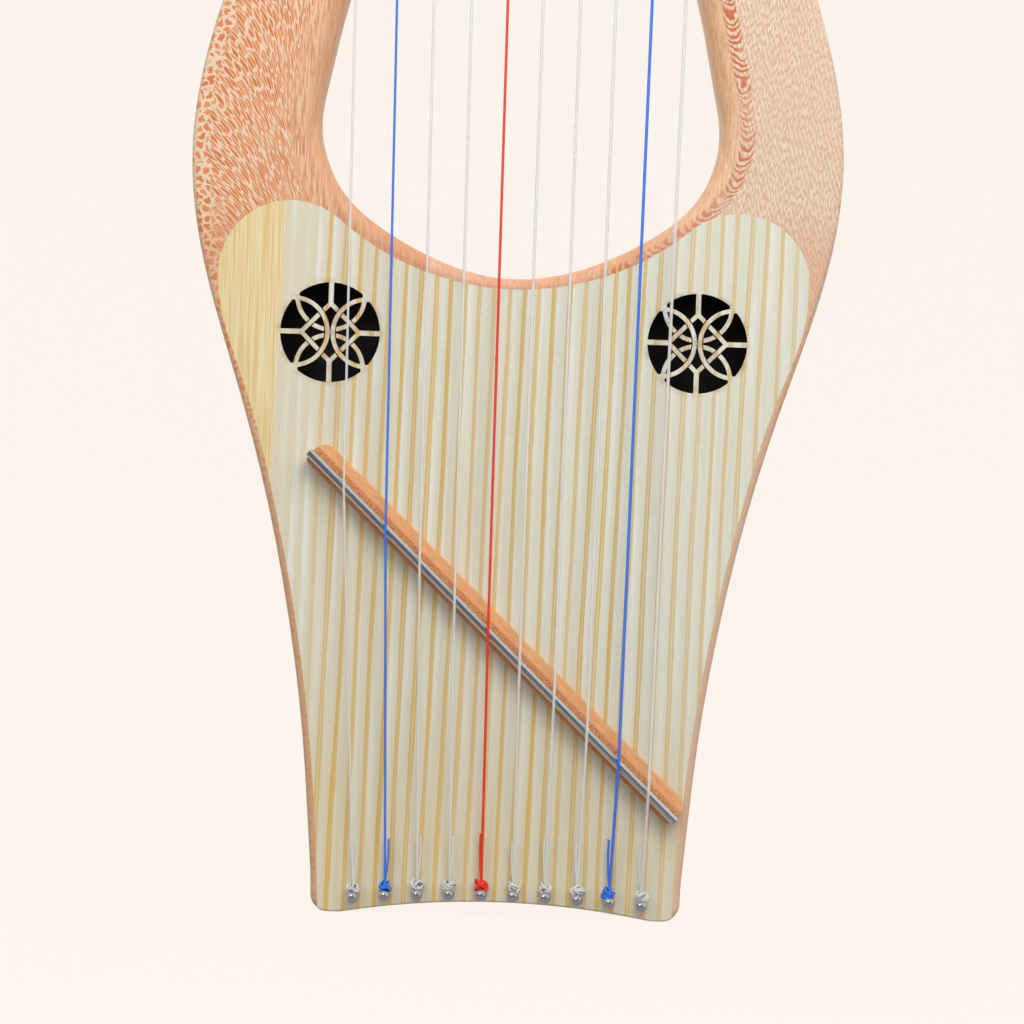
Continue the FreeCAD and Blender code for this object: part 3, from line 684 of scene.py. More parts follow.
@dataclass(frozen=True)
class AshBoard:
    """Pale ash with golden lines of early wood running up the board, mostly in pairs."""

    name: str
    face_y: float
    rose_places: tuple[tuple[float, float], ...] = ROSE_PLACES
    rose_radius: float = 20.0
    pale: Shade = srgb(225, 227, 210)
    warm: Shade = srgb(224, 216, 190)
    band: Shade = srgb(236, 239, 231)
    gold: Shade = srgb(222, 172, 40)
    foot: Shade = srgb(216, 200, 162)
    lobe: Shade = srgb(242, 226, 180)
    fibre_tint: Shade = srgb(206, 188, 150)
    pore_tint: Shade = srgb(190, 150, 88)
    cut_wall: Shade = srgb(42, 26, 18)
    # painted shade of the hollow body, put on the board's back face
    inside: Shade = srgb(28, 23, 21)
    burnt: Shade = srgb(168, 116, 70)
    ring_pitch: float = 6.0
    ring_start: float = 2.0
    lean: float = 0.021
    slow_bend: float = 5.0
    quick_bend: float = 1.4
    twin_lines: Levels = ((0.03, 0.0), (0.07, 1.0), (0.15, 1.0), (0.18, 0.45), (0.25, 0.45), (0.28, 1.0),
                          (0.34, 1.0), (0.37, 0.0))
    broad_line: Levels = ((0.05, 0.0), (0.10, 1.0), (0.20, 1.0), (0.24, 0.45), (0.27, 1.0), (0.31, 1.0),
                          (0.35, 0.0), (0.60, 0.0), (0.64, 0.12), (0.68, 0.12), (0.71, 0.0))
    late_wood: Levels = ((0.0, 0.0), (0.36, 0.0), (0.42, 1.0), (0.60, 1.0), (0.95, 0.0))
    plain_span: Span = (-80.0, -73.0)
    faint_span: Span = (40.0, 70.0)
    lobe_span: Span = (-92.0, -93.5)
    lobe_top: float = 260.0
    lobe_lean: float = 0.03
    warm_span: Span = (50.0, -110.0)
    foot_span: Span = (130.0, 10.0)
    surface: Surface = Surface(0.36, 0.14, -0.8, 0.14, 0.2 * MM)

    def build(self, effects: Effects) -> Material:
        """Make the material."""
        material, sheet, shader = new_material(self.name)
        place, x, y, z = sheet.millimetres()
        year, share = self.growth(sheet, x, z)
        dense = sheet.smooth(sheet.grain(x, z, 1.5, 0.02, 2.0, 0.7), 0.38, 0.62)
        corner = sheet.minus(x, sheet.times(sheet.minus(z, self.lobe_top), self.lobe_lean))
        lobe = sheet.smooth(corner, *self.lobe_span)
        lines = sheet.math("MAXIMUM", self.lines(sheet, x, z, year, share),
                           sheet.times(sheet.times(dense, lobe), 0.62))
        colour = sheet.mix(sheet.smooth(x, *self.warm_span), self.pale, self.warm)
        mottle = sheet.smooth(sheet.grain(x, z, 0.2, 0.01), 0.35, 0.65)
        late = sheet.times(sheet.levels(share, self.late_wood), mottle)
        colour = sheet.tint(colour, late, 0.9, self.band)
        colour = sheet.tint(colour, lobe, 0.9, self.lobe)
        colour = sheet.tint(colour, sheet.smooth(z, *self.foot_span), 0.5, self.foot)
        colour = sheet.tint(colour, lines, 0.92, self.gold)
        fibre = effects.fibres(sheet, place, 1.7, 14.0)
        colour = sheet.tint(colour, fibre["Fibre"], 0.26, self.fibre_tint)
        colour = sheet.tint(colour, fibre["Pores"], 0.3, self.pore_tint)
        colour = self.scorch_and_inside_shade(sheet, colour, x, y, z)
        self.surface.coat(sheet, shader, colour, fibre, sheet.times(lines, -0.5))
        return material

    def growth(self, sheet: NodeSheet, x: object, z: object) -> tuple[Socket, Socket]:
        """Find the year that a place on the board grew in, and the share of it that had passed.

        Args:
            sheet: The material's node sheet.
            x: Place to the right, in millimetres.
            z: Height, in millimetres.

        Returns:
            The year's number, and the share from 0 to 1.
        """
        place = sheet.minus(x, sheet.times(z, self.lean))
        waves = ((sheet.grain(x, z, 0.035, 0.003), self.slow_bend),
                 (sheet.grain(x, z, 0.3, 0.015), self.quick_bend))
        for wave, bend in waves:
            place = sheet.plus(place, sheet.times(sheet.minus(wave, 0.5), bend))
        turn = sheet.over(sheet.plus(place, self.ring_start), self.ring_pitch)
        return sheet.math("FLOOR", turn), sheet.math("FRACT", turn)

    def lines(self, sheet: NodeSheet, x: object, z: object, year: object, share: object) -> Socket:
        """Draw the golden lines, whose form and strength differ from year to year.

        Args:
            sheet: The material's node sheet.
            x: Place to the right, in millimetres.
            z: Height, in millimetres.
            year: The number of the year.
            share: The share of the year that had passed.

        Returns:
            The mask of the lines.
        """
        form = sheet.smooth(sheet.chance(sheet.plus(year, 0.37)), 0.45, 0.55)
        lines = sheet.mix(form, sheet.levels(share, self.twin_lines), sheet.levels(share, self.broad_line))
        dashes = sheet.smooth(sheet.grain(x, z, 3.0, 0.14, 3.0, 0.7), 0.28, 0.55)
        fade = sheet.smooth(sheet.grain(x, z, 0.15, 0.012), 0.3, 0.6)
        faint = sheet.smooth(x, *self.faint_span)
        for mask, gain, least in ((dashes, 0.35, 0.65), (sheet.chance(year), 0.45, 0.75), (fade, 0.2, 0.8),
                                  (faint, -0.25, 1.0)):
            lines = sheet.times(lines, sheet.plus(sheet.times(mask, gain), least, True))
        return sheet.times(lines, sheet.smooth(x, *self.plain_span))

    def scorch_and_inside_shade(self, sheet: NodeSheet, colour: object, x: object, y: object, z: object) -> Socket:
        """Darken the cut walls of the rosettes, paint the back face of the board near black as painted shade
        of the hollow body, and brown the wood in their middles and beside them.

        Args:
            sheet: The material's node sheet.
            colour: The colour so far.
            x: Place to the right, in millimetres.
            y: Place backwards, in millimetres.
            z: Height, in millimetres.

        Returns:
            The colour with the burnt marks and the painted shade on it.
        """
        (left, height), (right, _) = self.rose_places
        side = sheet.math("ABSOLUTE", sheet.minus(x, (left + right) / 2.0))
        reach = sheet.reach(sheet.minus(side, (right - left) / 2.0), sheet.minus(z, height))
        hole = sheet.smooth(reach, self.rose_radius + 0.6, self.rose_radius + 0.1)
        depth = sheet.smooth(y, self.face_y + 0.05, self.face_y + 0.6)
        colour = sheet.mix(sheet.times(hole, depth), colour, self.cut_wall)
        # painted shade: the back face of the board, inside the body, is painted near black
        behind = sheet.smooth(y, self.face_y + 2.0, self.face_y + 2.8)
        colour = sheet.mix(behind, colour, self.inside)
        smoke = sheet.smooth(sheet.grain(x, z, 0.16, 0.16), 0.42, 0.66)
        halo = sheet.times(sheet.smooth(reach, self.rose_radius + 2.5, self.rose_radius), smoke)
        heart = sheet.smooth(reach, 2.6, 0.8)
        burn = sheet.math("MAXIMUM", sheet.times(halo, 0.4), sheet.times(heart, 0.5))
        return sheet.mix(burn, colour, self.burnt)


@dataclass(frozen=True)
class PlainWood:
    """Straight grained wood, whose grain runs along a chosen direction."""

    name: str
    light: Shade
    dark: Shade
    turn: Turn = (0.0, 0.0, 0.0)
    fineness: float = 1.2
    length: float = 20.0
    surface: Surface = Surface(0.45, 0.12, -1.0, 0.2, 0.2 * MM)

    def build(self, effects: Effects) -> Material:
        """Make the material."""
        material, sheet, shader = new_material(self.name)
        turned = sheet.turned(sheet.millimetres()[0], self.turn)
        fibre = effects.fibres(sheet, turned, self.fineness, self.length)
        broad = effects.fibres(sheet, turned, self.fineness * 0.25, self.length * 2.0)
        pore = tuple(0.45 * part for part in self.dark[:3]) + (1.0,)
        colour = sheet.mix(fibre["Fibre"], self.light, self.dark)
        colour = sheet.tint(colour, broad["Fibre"], 0.4, self.dark)
        colour = sheet.tint(colour, fibre["Pores"], 0.5, pore)
        self.surface.coat(sheet, shader, colour, fibre, 0.0)
        return material


@dataclass(frozen=True)
class Metal:
    """Polished or plated steel with fine drawn scratches."""

    name: str
    colour: Shade
    roughness: float
    turn: Turn = (0.0, 0.0, 0.0)

    def build(self, effects: Effects) -> Material:
        """Make the material."""
        material, sheet, shader = new_material(self.name)
        turned = sheet.turned(sheet.millimetres()[0], self.turn)
        drawn = effects.fibres(sheet, turned, 4.0, 8.0)["Fibre"]
        rough = sheet.plus(self.roughness, sheet.times(drawn, 0.1))
        relief = sheet.add("Bump", Strength=0.05, Distance=0.1 * MM, Height=drawn)
        sheet.wire(shader, Base_Color=self.colour, Metallic=1.0, Roughness=rough, Normal=relief.outputs[0])
        return material


@dataclass(frozen=True)
class BridgeWood:
    """Orange brown wood, darker and rougher on the steep face beside the rod, the dark partly torn grain and
    partly painted shadow of the rod, and darker along its lower side, partly wood seen under the rod and
    partly painted shade.
    """

    name: str
    axis_point: tuple[float, float]
    axis_turn: float
    light: Shade = srgb(232, 172, 118)
    dark: Shade = srgb(214, 146, 92)
    steep: Shade = srgb(138, 74, 40)
    under: Shade = srgb(176, 104, 64)
    steep_reach: float = 3.9
    shaded_side_span: Span = (-1.2, -2.2)
    surface: Surface = Surface(0.42, 0.14, -1.0, 0.3, 0.3 * MM)

    def build(self, effects: Effects) -> Material:
        """Make the material."""
        material, sheet, shader = new_material(self.name)
        _, x, y, z = sheet.millimetres()
        right, up = sheet.minus(x, self.axis_point[0]), sheet.minus(z, self.axis_point[1])
        cos, sin = math.cos(self.axis_turn), math.sin(self.axis_turn)
        along = sheet.minus(sheet.times(right, cos), sheet.times(up, sin))
        across = sheet.plus(sheet.times(right, sin), sheet.times(up, cos))
        fibre = effects.fibres(sheet, sheet.combine(across, y, along), 1.8, 10.0)
        colour = sheet.mix(fibre["Fibre"], self.light, self.dark)
        ticks = sheet.smooth(sheet.grain(along, across, 1.0, 2.0, 4.0, 0.75), 0.36, 0.58)
        near = sheet.smooth(across, self.steep_reach + 0.5, self.steep_reach - 0.6)
        # partly painted shadow: the dark ticks beside the rod are torn grain and also stand in for the rod's
        # shadow
        torn_and_shadowed = sheet.times(sheet.times(near, sheet.smooth(across, 0.0, 0.6)), ticks)
        colour = sheet.tint(colour, torn_and_shadowed, 0.8, self.steep)
        # partly painted shade: the lower side of the bridge is darkened, partly wood seen under the rod and
        # partly the shade away from the key light
        colour = sheet.tint(colour, sheet.smooth(across, *self.shaded_side_span), 0.7, self.under)
        self.surface.coat(sheet, shader, colour, fibre, sheet.times(torn_and_shadowed, -1.0))
        return material


@dataclass(frozen=True)
class Nylon:
    """Extruded nylon string, dyed or clear, that lets some light through, with painted shade in a darker edge
    colour where it faces away.
    """

    name: str
    colour: Shade
    # the darker colour painted at the string's grazing edges as shade
    edge: Shade
    middle_alpha: float
    edge_alpha: float
    gloss: float = 0.35

    def build(self) -> Material:
        """Make the material."""
        material, sheet, shader = new_material(self.name)
        rim = sheet.smooth(sheet.add("LayerWeight", Blend=0.5).outputs["Facing"], 0.25, 0.85)
        mark = sheet.noise(sheet.millimetres()[0], 0.35)
        # painted shade: the colour turns to the darker edge colour where the string faces away, standing in
        # for the dark edges of a round string
        tint = sheet.mix(rim, self.colour, self.edge)
        tint = sheet.tint(tint, sheet.smooth(mark, 0.45, 0.7), 0.08, self.edge)
        alpha = sheet.add("MapRange", Value=rim, To_Min=self.middle_alpha, To_Max=self.edge_alpha).outputs[0]
        rough = sheet.plus(0.3, sheet.times(mark, 0.12))
        sheet.wire(shader, Base_Color=tint, Alpha=alpha, Roughness=rough, Specular_IOR_Level=self.gloss)
        return material


# ---- modelling helpers ----------------------------------------------------------------
def clear_selection() -> None:
    """Leave edit mode and deselect everything."""
    if bpy.context.mode != "OBJECT":
        bpy.ops.object.mode_set(mode="OBJECT")
    bpy.ops.object.select_all(action="DESELECT")


def select_only(*pieces: Piece) -> None:
    """Select pieces and nothing else, with the first as the active one."""
    clear_selection()
    for piece in pieces:
        piece.select_set(True)
    bpy.context.view_layer.objects.active = pieces[0]


def settle(piece: Piece) -> Piece:
    """Move a piece's place into its mesh, so that its object sits at the origin."""
    select_only(piece)
    bpy.ops.object.transform_apply(location=True, rotation=True, scale=True)
    return piece


def join(pieces: list[Piece], name: str) -> Piece:
    """Join pieces into one object at the origin.

    Args:
        pieces: The pieces, in place.
        name: The joined object's name.

    Returns:
        The joined object.
    """
    select_only(*pieces)
    bpy.ops.object.join()
    pieces[0].name = pieces[0].data.name = name
    return settle(pieces[0])


def close_and_smooth(piece: Piece) -> Piece:
    """Turn the faces of a piece outwards, shade its blunt edges smooth and settle it."""
    bpy.ops.mesh.select_all(action="SELECT")
    bpy.ops.mesh.normals_make_consistent(inside=False)
    select_only(piece)
    bpy.ops.object.shade_smooth_by_angle(angle=SMOOTH_ANGLE)
    return settle(piece)


def tube(points: list[Vector], radii: list[float], sides: int = 14) -> Piece:
    """Draw a round bar upwards through points by extruding a circle.

    Args:
        points: The middle of the bar at each step, mostly one above the other.
        radii: The radius at each point.
        sides: How many sides the bar has.

    Returns:
        The closed bar.
    """
    clear_selection()
    bpy.ops.mesh.primitive_circle_add(vertices=sides, radius=radii[0], fill_type="NGON",
                                      location=points[0])
    piece = bpy.context.active_object
    bpy.ops.object.mode_set(mode="EDIT")
    for last, here, old, new in zip(points, points[1:], radii, radii[1:]):
        bpy.ops.mesh.extrude_region_move(TRANSFORM_OT_translate={"value": here - last})
        if new != old:
            bpy.ops.transform.resize(value=(new / old,) * 3, center_override=here)
    return close_and_smooth(piece)


def loop_of_string(centre: Vector, major: float, minor: float, turn: Turn, squash: float) -> Piece:
    """One turn of string in a knot.

    Args:
        centre: The middle of the loop.
        major: Radius of the loop.
        minor: Radius of the string.
        turn: The loop's rotation.
        squash: How far the loop is pressed into an oval.

    Returns:
        The loop.
    """
    clear_selection()
    bpy.ops.mesh.primitive_torus_add(major_segments=20, minor_segments=10, major_radius=major,
                                     minor_radius=minor, location=centre, rotation=turn)
    piece = bpy.context.active_object
    bpy.ops.object.mode_set(mode="EDIT")
    bpy.ops.mesh.select_all(action="SELECT")
    bpy.ops.transform.resize(value=(1.0, squash, 1.0), orient_type="LOCAL", center_override=centre)
    select_only(piece)
    bpy.ops.object.shade_smooth()
    return settle(piece)


def dress(piece: Piece, material: Material) -> None:
    """Give every face of a piece one material."""
    if not piece.data.materials:
        piece.data.materials.append(material)
    for index in range(len(piece.data.materials)):
        piece.data.materials[index] = material


# ---- sub-assemblies -------------------------------------------------------------------
@dataclass
class Woodwork:
    """The arms, blocks, boards, braces, yoke and dowels, which keep their designed shapes."""

    nodes: dict[str, Piece]
    block_light: Shade = srgb(243, 205, 178)
    block_dark: Shade = srgb(222, 166, 132)
    tail_wood: tuple[Shade, Shade] = (srgb(214, 176, 136), srgb(176, 128, 88))
    spruce: tuple[Shade, Shade] = (srgb(232, 206, 160), srgb(206, 170, 118))
    beech: tuple[Shade, Shade] = (srgb(222, 178, 132), srgb(190, 140, 96))

    def dress(self, effects: Effects) -> None:
        """Give each wooden piece its own finish."""
        across = (0.0, QUARTER, 0.0)
        board_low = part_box("soundboard")[0]
        back_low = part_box("back_board")[0]
        rod_low, rod_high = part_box("bridge_rod")
        rod_turn = math.atan2(rod_high.z - rod_low.z, rod_high.x - rod_low.x)
        finishes = {
            "left_arm": FlakedWood("lacewood_left"),
            "right_arm": LaceWood("lacewood_right"),
            "upper_block": LaceWood("lacewood_block", ring_strength=0.0, round_light=self.block_light,
                                    round_dark=self.block_dark),
            "soundboard": AshBoard("soundboard_ash", board_low.y / MM),
            "back_board": RayWood("back_lacewood", painted_shade_behind=back_low.y / MM),
            "yoke": RayWood("yoke_lacewood", turn=across),
            "tail_block": PlainWood("tail_wood", *self.tail_wood, across),
            "bridge_base": BridgeWood("bridge_wood", (rod_low.x / MM, rod_high.z / MM), rod_turn),
            "yoke_dowels": PlainWood("beech", *self.beech),
        }
        materials = {node: finish.build(effects) for node, finish in finishes.items()}
        sawn = Surface(0.6, 0.12, -1.0, 0.2, 0.2 * MM)
        spruce = PlainWood("spruce", *self.spruce, across, 0.8, 30.0, sawn).build(effects)
        materials |= {name: spruce for name in ("upper_brace", "lower_brace", "back_brace")}
        for node, material in materials.items():
            dress(self.nodes[node], material)
            LOG.info("dressed %s", node)


@dataclass
class Hardware:
    """The bridge rod, hitch pins and tuning pins."""

    nodes: dict[str, Piece]
    strings: int = 10
    steel: Shade = (0.72, 0.74, 0.78, 1.0)
    nickel: Shade = (0.6, 0.61, 0.67, 1.0)
    rod_slope: float = math.radians(46.5)

    def dress(self, effects: Effects) -> None:
        """Give the steel its finish."""
        rod = Metal("polished_steel", self.steel, 0.1, (0.0, self.rod_slope, 0.0)).build(effects)
        plated = Metal("nickel_steel", self.nickel, 0.16).build(effects)
        dress(self.nodes["bridge_rod"], rod)
        dress(self.nodes["hitch_pins"], plated)
        for number in range(1, self.strings + 1):
            dress(self.nodes[f"tuning_pin_{number:02d}"], plated)
        LOG.info("dressed the steel")


@dataclass
class StringSet:
    """The ten strings, with their knots and cut tails, and their turns round the tuning pins."""

    nodes: dict[str, Piece]
    strings: int = 10
    first_diameter: float = 1.0 * MM
    diameter_step: float = 0.035 * MM
    blue: tuple[int, ...] = (2, 9)
    red: tuple[int, ...] = (5,)
    bend_x: tuple[float, ...] = (-65.0, -47.9, -34.0, -19.7, -6.0, 6.9, 21.0, 34.5, 47.4, 59.6)
    rod_radius: float = 1.8 * MM
    rod_end: float = 1.3 * MM
    bend_reach: Span = (1.2 * MM, 3.0 * MM)
    bend_ease: float = 0.03 * MM
    pin_radius: float = 2.52 * MM
    knot_height: float = 1.8 * MM
    knot_zone: float = 3.0 * MM
    knot_loops: int = 9
    loop_radius: float = 1.4 * MM
    loop_growth: float = 0.12 * MM
    pulled_thin: float = 0.8
    left_tails: tuple[int, ...] = (1, 2, 3, 4)
    tail_length: float = 19.0 * MM
    tail_sway: float = 2.1 * MM
    coil_turns: int = 5
    coil_pitch: float = 1.45 * MM
    clear_nylon: Nylon = Nylon("string_clear", srgb(240, 242, 240), srgb(198, 201, 199), 0.58, 0.87)
    blue_nylon: Nylon = Nylon("string_blue", srgb(66, 132, 246), srgb(40, 92, 206), 0.8, 0.95)
    red_nylon: Nylon = Nylon("string_red", srgb(248, 66, 42), srgb(214, 38, 22), 0.82, 0.95)

    def colour(self, number: int) -> StringColour:
        """The dye of a string, by its number from the left."""
        if number in self.blue:
            return StringColour.BLUE
        return StringColour.RED if number in self.red else StringColour.CLEAR

    def radius(self, number: int) -> float:
        """The radius of a string."""
        return (self.first_diameter + self.diameter_step * (number - 1)) / 2.0

    def hitch(self, number: int) -> Vector:
        """The middle of the knot at the hitch pin, as the solid string has it."""
        name = f"string_{number:02d}"
        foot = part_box(name)[0].z
        below = [vertex.co for vertex in self.nodes[name].data.vertices if vertex.co.z < foot + self.knot_zone]
        x, y = ((min(row) + max(row)) / 2.0 for row in list(zip(*below))[:2])
        return Vector((x, y, foot + self.knot_height))

    def pin(self, number: int) -> Vector:
        """The middle of the turns of string nearest the yoke."""
        low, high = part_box(f"string_winding_{number:02d}")
        centre = (low + high) / 2.0
        centre.y = high.y - self.radius(number)
        return centre

    def crest(self, number: int) -> Vector:
        """Where the string bends over the bridge rod."""
        low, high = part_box("bridge_rod")
        x = self.bend_x[number - 1] * MM
        share = (x - low.x) / (high.x - low.x)
        z = high.z - self.rod_end - share * (high.z - low.z - 2.0 * self.rod_end)
        y = (low.y + high.y) / 2.0 - self.rod_radius - self.radius(number)
        return Vector((x, y, z))

    def string(self, number: int, material: Material) -> Piece:
        """Model one string from its knot to its tuning pin.

        Args:
            number: The string's number, from the left.
            material: Its finish.

        Returns:
            The finished string.
        """
        dice = random.Random(number)
        radius = self.radius(number)
        knot, crest, pin = self.hitch(number), self.crest(number), self.pin(number)
        top = pin + Vector((self.pin_radius + radius, 0.0, 0.0))
        start = knot + Vector((0.0, -0.4 * MM, 1.0 * MM))
        below, above = (start - crest).normalized(), (top - crest).normalized()
        near, far = self.bend_reach
        ease = Vector((0.0, self.bend_ease, 0.0))
        path = [start, crest + below * far, crest + below * near + ease, crest,
                crest + above * near + ease, crest + above * far, top]
        pieces = [tube(path, [radius] * len(path)), *self.knot(knot, radius, dice)]
        pieces.append(self.tail(number, knot, radius, dice))
        piece = join(pieces, f"nylon_string_{number:02d}")
        dress(piece, material)
        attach(piece, "lyre")
        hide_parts(f"string_{number:02d}")
        self.colour(number).value
        return piece

    def knot(self, knot: Vector, radius: float, dice: random.Random) -> list[Piece]:
        """Model the turns of the knot, and the loop under the head of the hitch pin.

        Args:
            knot: The middle of the knot.
            radius: Radius of the string.
            dice: The string's own random draws.

        Returns:
            The loops.
        """
        loops = []
        middle = knot + Vector((0.0, -0.5, -0.3)) * MM
        fine = radius * self.pulled_thin
        for turn in range(self.knot_loops):
            tip = (dice.uniform(-1.1, 1.1), dice.uniform(-1.1, 1.1), dice.uniform(0, math.pi))
            shift = Vector((dice.uniform(-1.0, 1.0), dice.uniform(-0.5, 0.4), dice.uniform(-0.9, 1.1))) * MM
            loops.append(loop_of_string(middle + shift, self.loop_radius + self.loop_growth * turn, fine, tip,
                                        dice.uniform(0.75, 1.0)))
        collar = knot + Vector((0.0, 0.3, -2.6)) * MM
        loops.append(loop_of_string(collar, 1.1 * MM + fine, fine, (QUARTER, 0.0, 0.0), 1.12))
        return loops

    def tail(self, number: int, knot: Vector, radius: float, dice: random.Random) -> Piece:
        """Model the cut end of the string, standing up beside it with a hooked tip.

        Args:
            number: The string's number, from the left.
            knot: The middle of the knot.
            radius: Radius of the string.
            dice: The string's own random draws.

        Returns:
            The cut end.
        """
        side = 1.0 if number in self.left_tails else -1.0
        length = self.tail_length * dice.uniform(0.86, 1.05)
        points = [knot + Vector((side * self.tail_sway * share * (1.4 - share), -(0.9 + 0.5 * share) * MM,
                                 1.5 * MM + share * length)) for share in (0.0, 0.3, 0.6, 0.85, 1.0)]
        points.append(points[-1] + Vector((side * 1.1, -0.3, 0.4)) * MM)
        radii = [radius * self.pulled_thin * share for share in (1.0, 1.0, 0.95, 1.0, 1.0, 0.8)]
        return tube(points, radii, 10)

    def winding(self, number: int, material: Material) -> Piece:
        """Model the coil of string round a tuning pin by screwing a circle round the pin.

        Args:
            number: The string's number, from the left.
            material: Its finish.

        Returns:
            The finished coil.
        """
        radius = self.radius(number)
        clear_selection()
        bpy.ops.mesh.primitive_circle_add(vertices=10, radius=radius, location=self.pin(number))
        piece = bpy.context.active_object
        bpy.ops.object.mode_set(mode="EDIT")
        bpy.ops.mesh.select_all(action="SELECT")
        bpy.ops.transform.translate(value=(self.pin_radius + radius, 0.0, 0.0))
        bpy.ops.object.mode_set(mode="OBJECT")
        screw = piece.modifiers.new("coil", "SCREW")
        screw.axis = "Y"
        screw.angle = -2.0 * math.pi
        screw.screw_offset = -self.coil_pitch
        screw.iterations = self.coil_turns
        screw.steps = screw.render_steps = 28
        screw.use_normal_calculate = True
        bpy.ops.object.modifier_apply(modifier=screw.name)
        bpy.ops.object.mode_set(mode="EDIT")
        bpy.ops.mesh.select_all(action="DESELECT")
        bpy.ops.mesh.select_mode(type="EDGE")
        bpy.ops.mesh.select_non_manifold()
        bpy.ops.mesh.edge_face_add()
        bpy.ops.mesh.select_mode(type="VERT")
        piece.name = piece.data.name = f"coil_{number:02d}"
        close_and_smooth(piece)
        dress(piece, material)
        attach(piece, f"pin_{number:02d}")
        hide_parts(f"string_winding_{number:02d}")
        self.colour(number).value
        return piece

    def build(self) -> None:
        """Model and dress every string and coil."""
        materials = {StringColour(finish.name): finish.build()
                     for finish in (self.clear_nylon, self.blue_nylon, self.red_nylon)}
        for number in range(1, self.strings + 1):
            material = materials[self.colour(number)]
            self.string(number, material)
            self.winding(number, material)
            LOG.info("strung string %d", number)


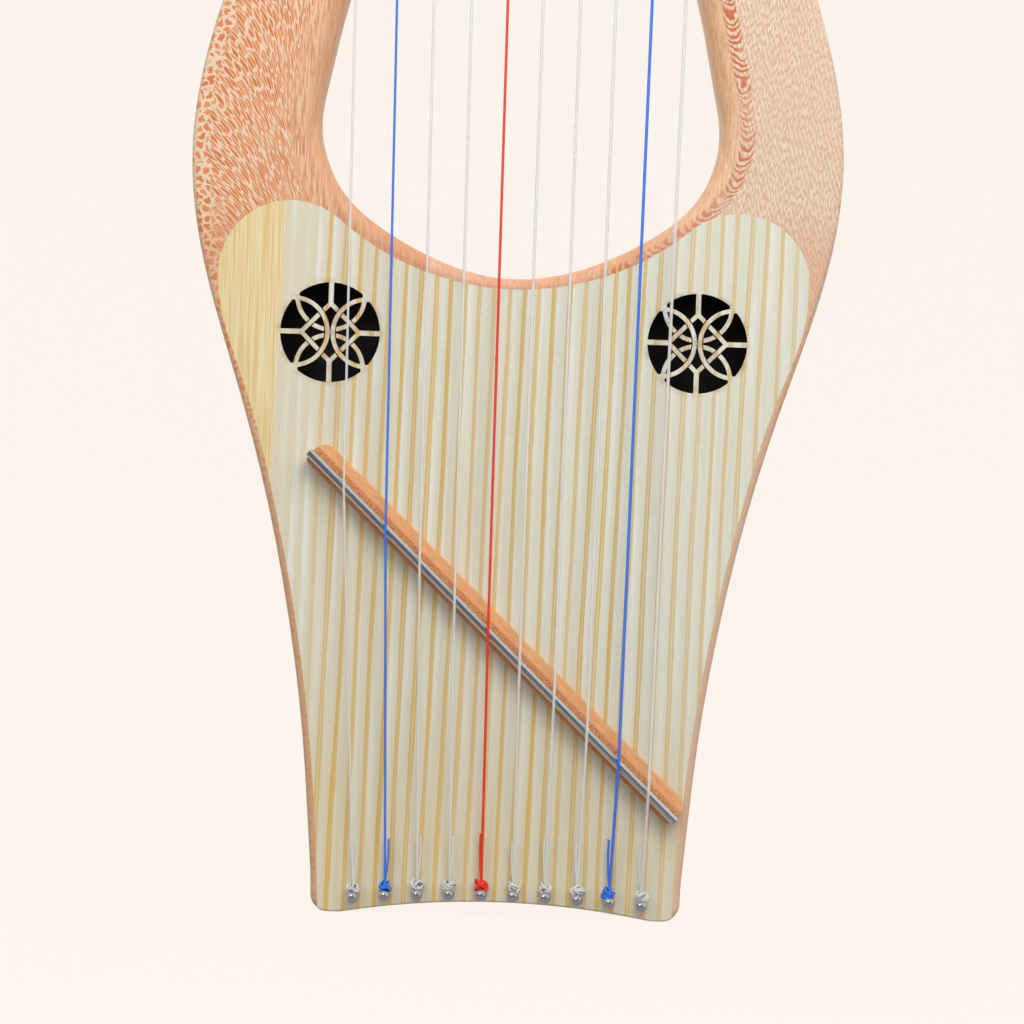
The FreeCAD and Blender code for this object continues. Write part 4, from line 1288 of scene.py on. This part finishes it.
@dataclass
class Studio:
    """A pale sweep, soft lights and the camera."""

    paper: Shade = srgb(251, 244, 236)
    paper_tones: tuple[Shade, Shade] = (srgb(50, 49, 47), srgb(52, 50, 48))
    sweep_size: float = 6.0
    sweep_bend: float = 1.5
    dim_room: Shade = (0.16, 0.17, 0.2, 1.0)
    lit_room: Shade = (0.76, 0.755, 0.75, 1.0)
    room_lean: Span = (0.33, 0.37)   # how far the dim side leans to the left and down
    room_span: Span = (-0.8, -0.15)
    sensor: float = 36.0
    picture_width: float = 0.4096
    distance: float = 1.25
    aim: tuple[float, float] = (0.0020, 0.1620)
    roll: float = math.radians(1.8)
    face_y: float = -0.002
    glow: float = 0.98
    bounce: Span = (0.1, 0.85)
    bounce_span: Span = (-300.0, 600.0)
    lit_point: Turn = (0.0, 0.0, 0.2)

    def sweep(self) -> Piece:
        """Model the floor and the wall behind it as one curved sheet."""
        clear_selection()
        bpy.ops.mesh.primitive_plane_add(size=self.sweep_size, location=(0.0, 0.0, 0.0))
        sheet = bpy.context.active_object
        bpy.ops.object.mode_set(mode="EDIT")
        bpy.ops.mesh.select_all(action="DESELECT")
        edit = bmesh.from_edit_mesh(sheet.data)
        for edge in edit.edges:
            edge.select_set(all(vertex.co.y > 0.0 for vertex in edge.verts))
        bmesh.update_edit_mesh(sheet.data)
        bpy.ops.mesh.extrude_region_move(TRANSFORM_OT_translate={"value": (0.0, 0.0, self.sweep_size)})
        select_only(sheet)
        bend = sheet.modifiers.new("sweep", "BEVEL")
        bend.width = self.sweep_bend
        bend.segments = 24
        bpy.ops.object.modifier_apply(modifier=bend.name)
        bpy.ops.object.shade_smooth()
        sheet.name = "paper_sweep"
        dress(sheet, self.paper_finish())
        return sheet

    def paper_finish(self) -> Material:
        """Make the paper, which looks even and lights the lyre less from in front than from behind."""
        material, nodes, shader = new_material("paper")
        place, _, y, _ = nodes.millimetres()
        tone = nodes.mix(nodes.noise(place, 0.4, 3.0), *self.paper_tones)
        seen = nodes.add("LightPath").outputs["Is Camera Ray"]
        bounce = nodes.add("MapRange", Value=y, From_Min=self.bounce_span[0], From_Max=self.bounce_span[1],
                           To_Min=self.bounce[0], To_Max=self.bounce[1]).outputs[0]
        glow = nodes.add("MapRange", Value=seen, To_Min=bounce, To_Max=self.glow).outputs[0]
        nodes.wire(shader, Base_Color=tone, Roughness=1.0, Specular_IOR_Level=0.0,
                   Emission_Color=self.paper, Emission_Strength=glow)
        return material

    def light(self, name: str, place: Turn, size: float, power: float, colour: Turn,
              glint: bool = False) -> None:
        """Hang one square light that points at the lyre.

        Args:
            name: The light's name.
            place: Where it hangs.
            size: Its width.
            power: Its power in watts.
            colour: Its colour.
            glint: Whether it only shows as a reflection, or else only lights.
        """
        lamp = bpy.data.lights.new(name, "AREA")
        lamp.size = size
        lamp.energy = power
        lamp.color = colour
        holder = bpy.data.objects.new(name, lamp)
        holder.visible_glossy = glint
        holder.visible_diffuse = not glint
        holder.visible_camera = False
        bpy.context.scene.collection.objects.link(holder)
        aim = Vector(self.lit_point) - Vector(place)
        holder.matrix_world = Matrix.Translation(place) @ aim.to_track_quat("-Z", "Y").to_matrix().to_4x4()

    def surround(self) -> None:
        """Fill the room with an even light, dim in front, where the camera stands."""
        world = bpy.data.worlds.new("room")
        bpy.context.scene.world = world
        world.use_nodes = True
        nodes = NodeSheet(world.node_tree)
        back = world.node_tree.nodes["Background"]
        toward = nodes.parts(nodes.add("TexCoord").outputs["Generated"])
        lean = nodes.plus(nodes.times(toward[0], self.room_lean[0]), nodes.times(toward[2], self.room_lean[1]))
        open_side = nodes.smooth(nodes.plus(toward[1], lean), *self.room_span)
        light = nodes.mix(open_side, self.dim_room, self.lit_room)
        seen = nodes.add("LightPath").outputs["Is Camera Ray"]
        nodes.tree.links.new(nodes.mix(seen, light, self.paper), back.inputs["Color"])
        back.inputs["Strength"].default_value = 1.0

    def camera(self) -> None:
        """Stand the camera square in front of the strings, rolled a little."""
        data = bpy.data.cameras.new("camera")
        data.sensor_width = self.sensor
        data.lens = self.sensor * self.distance / self.picture_width
        holder = bpy.data.objects.new("camera", data)
        bpy.context.scene.collection.objects.link(holder)
        facing = Euler((QUARTER, 0.0, 0.0)).to_matrix().to_4x4()
        spin = Matrix.Rotation(-self.roll, 4, "Y")
        place = Matrix.Translation((self.aim[0], self.face_y - self.distance, self.aim[1]))
        holder.matrix_world = place @ spin @ facing
        bpy.context.scene.camera = holder

    def build(self) -> None:
        """Set up everything round the lyre."""
        self.sweep()
        self.surround()
        self.light("key", (0.25, -0.9, 0.92), 0.8, 10.2, (1.0, 0.99, 0.97))
        self.light("fill", (-0.9, -1.1, 0.7), 0.8, 5.6, (0.96, 0.98, 1.0))
        self.light("back", (-0.6, 1.2, 1.0), 1.0, 5.0, (1.0, 0.99, 0.97))
        self.light("glint", (-0.5, -0.9, 0.75), 0.16, 2.4, (1.0, 1.0, 1.0), glint=True)
        self.camera()
        bpy.context.scene.view_settings.view_transform = "Standard"


def main() -> None:
    """Load the frame, dress and model every piece, and set up the studio."""
    logging.basicConfig(level=logging.INFO, format="%(message)s")
    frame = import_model()
    effects = Effects()
    Woodwork(frame["nodes"]).dress(effects)
    Hardware(frame["nodes"]).dress(effects)
    StringSet(frame["nodes"]).build()
    Studio().build()


if __name__ == "__main__":
    main()
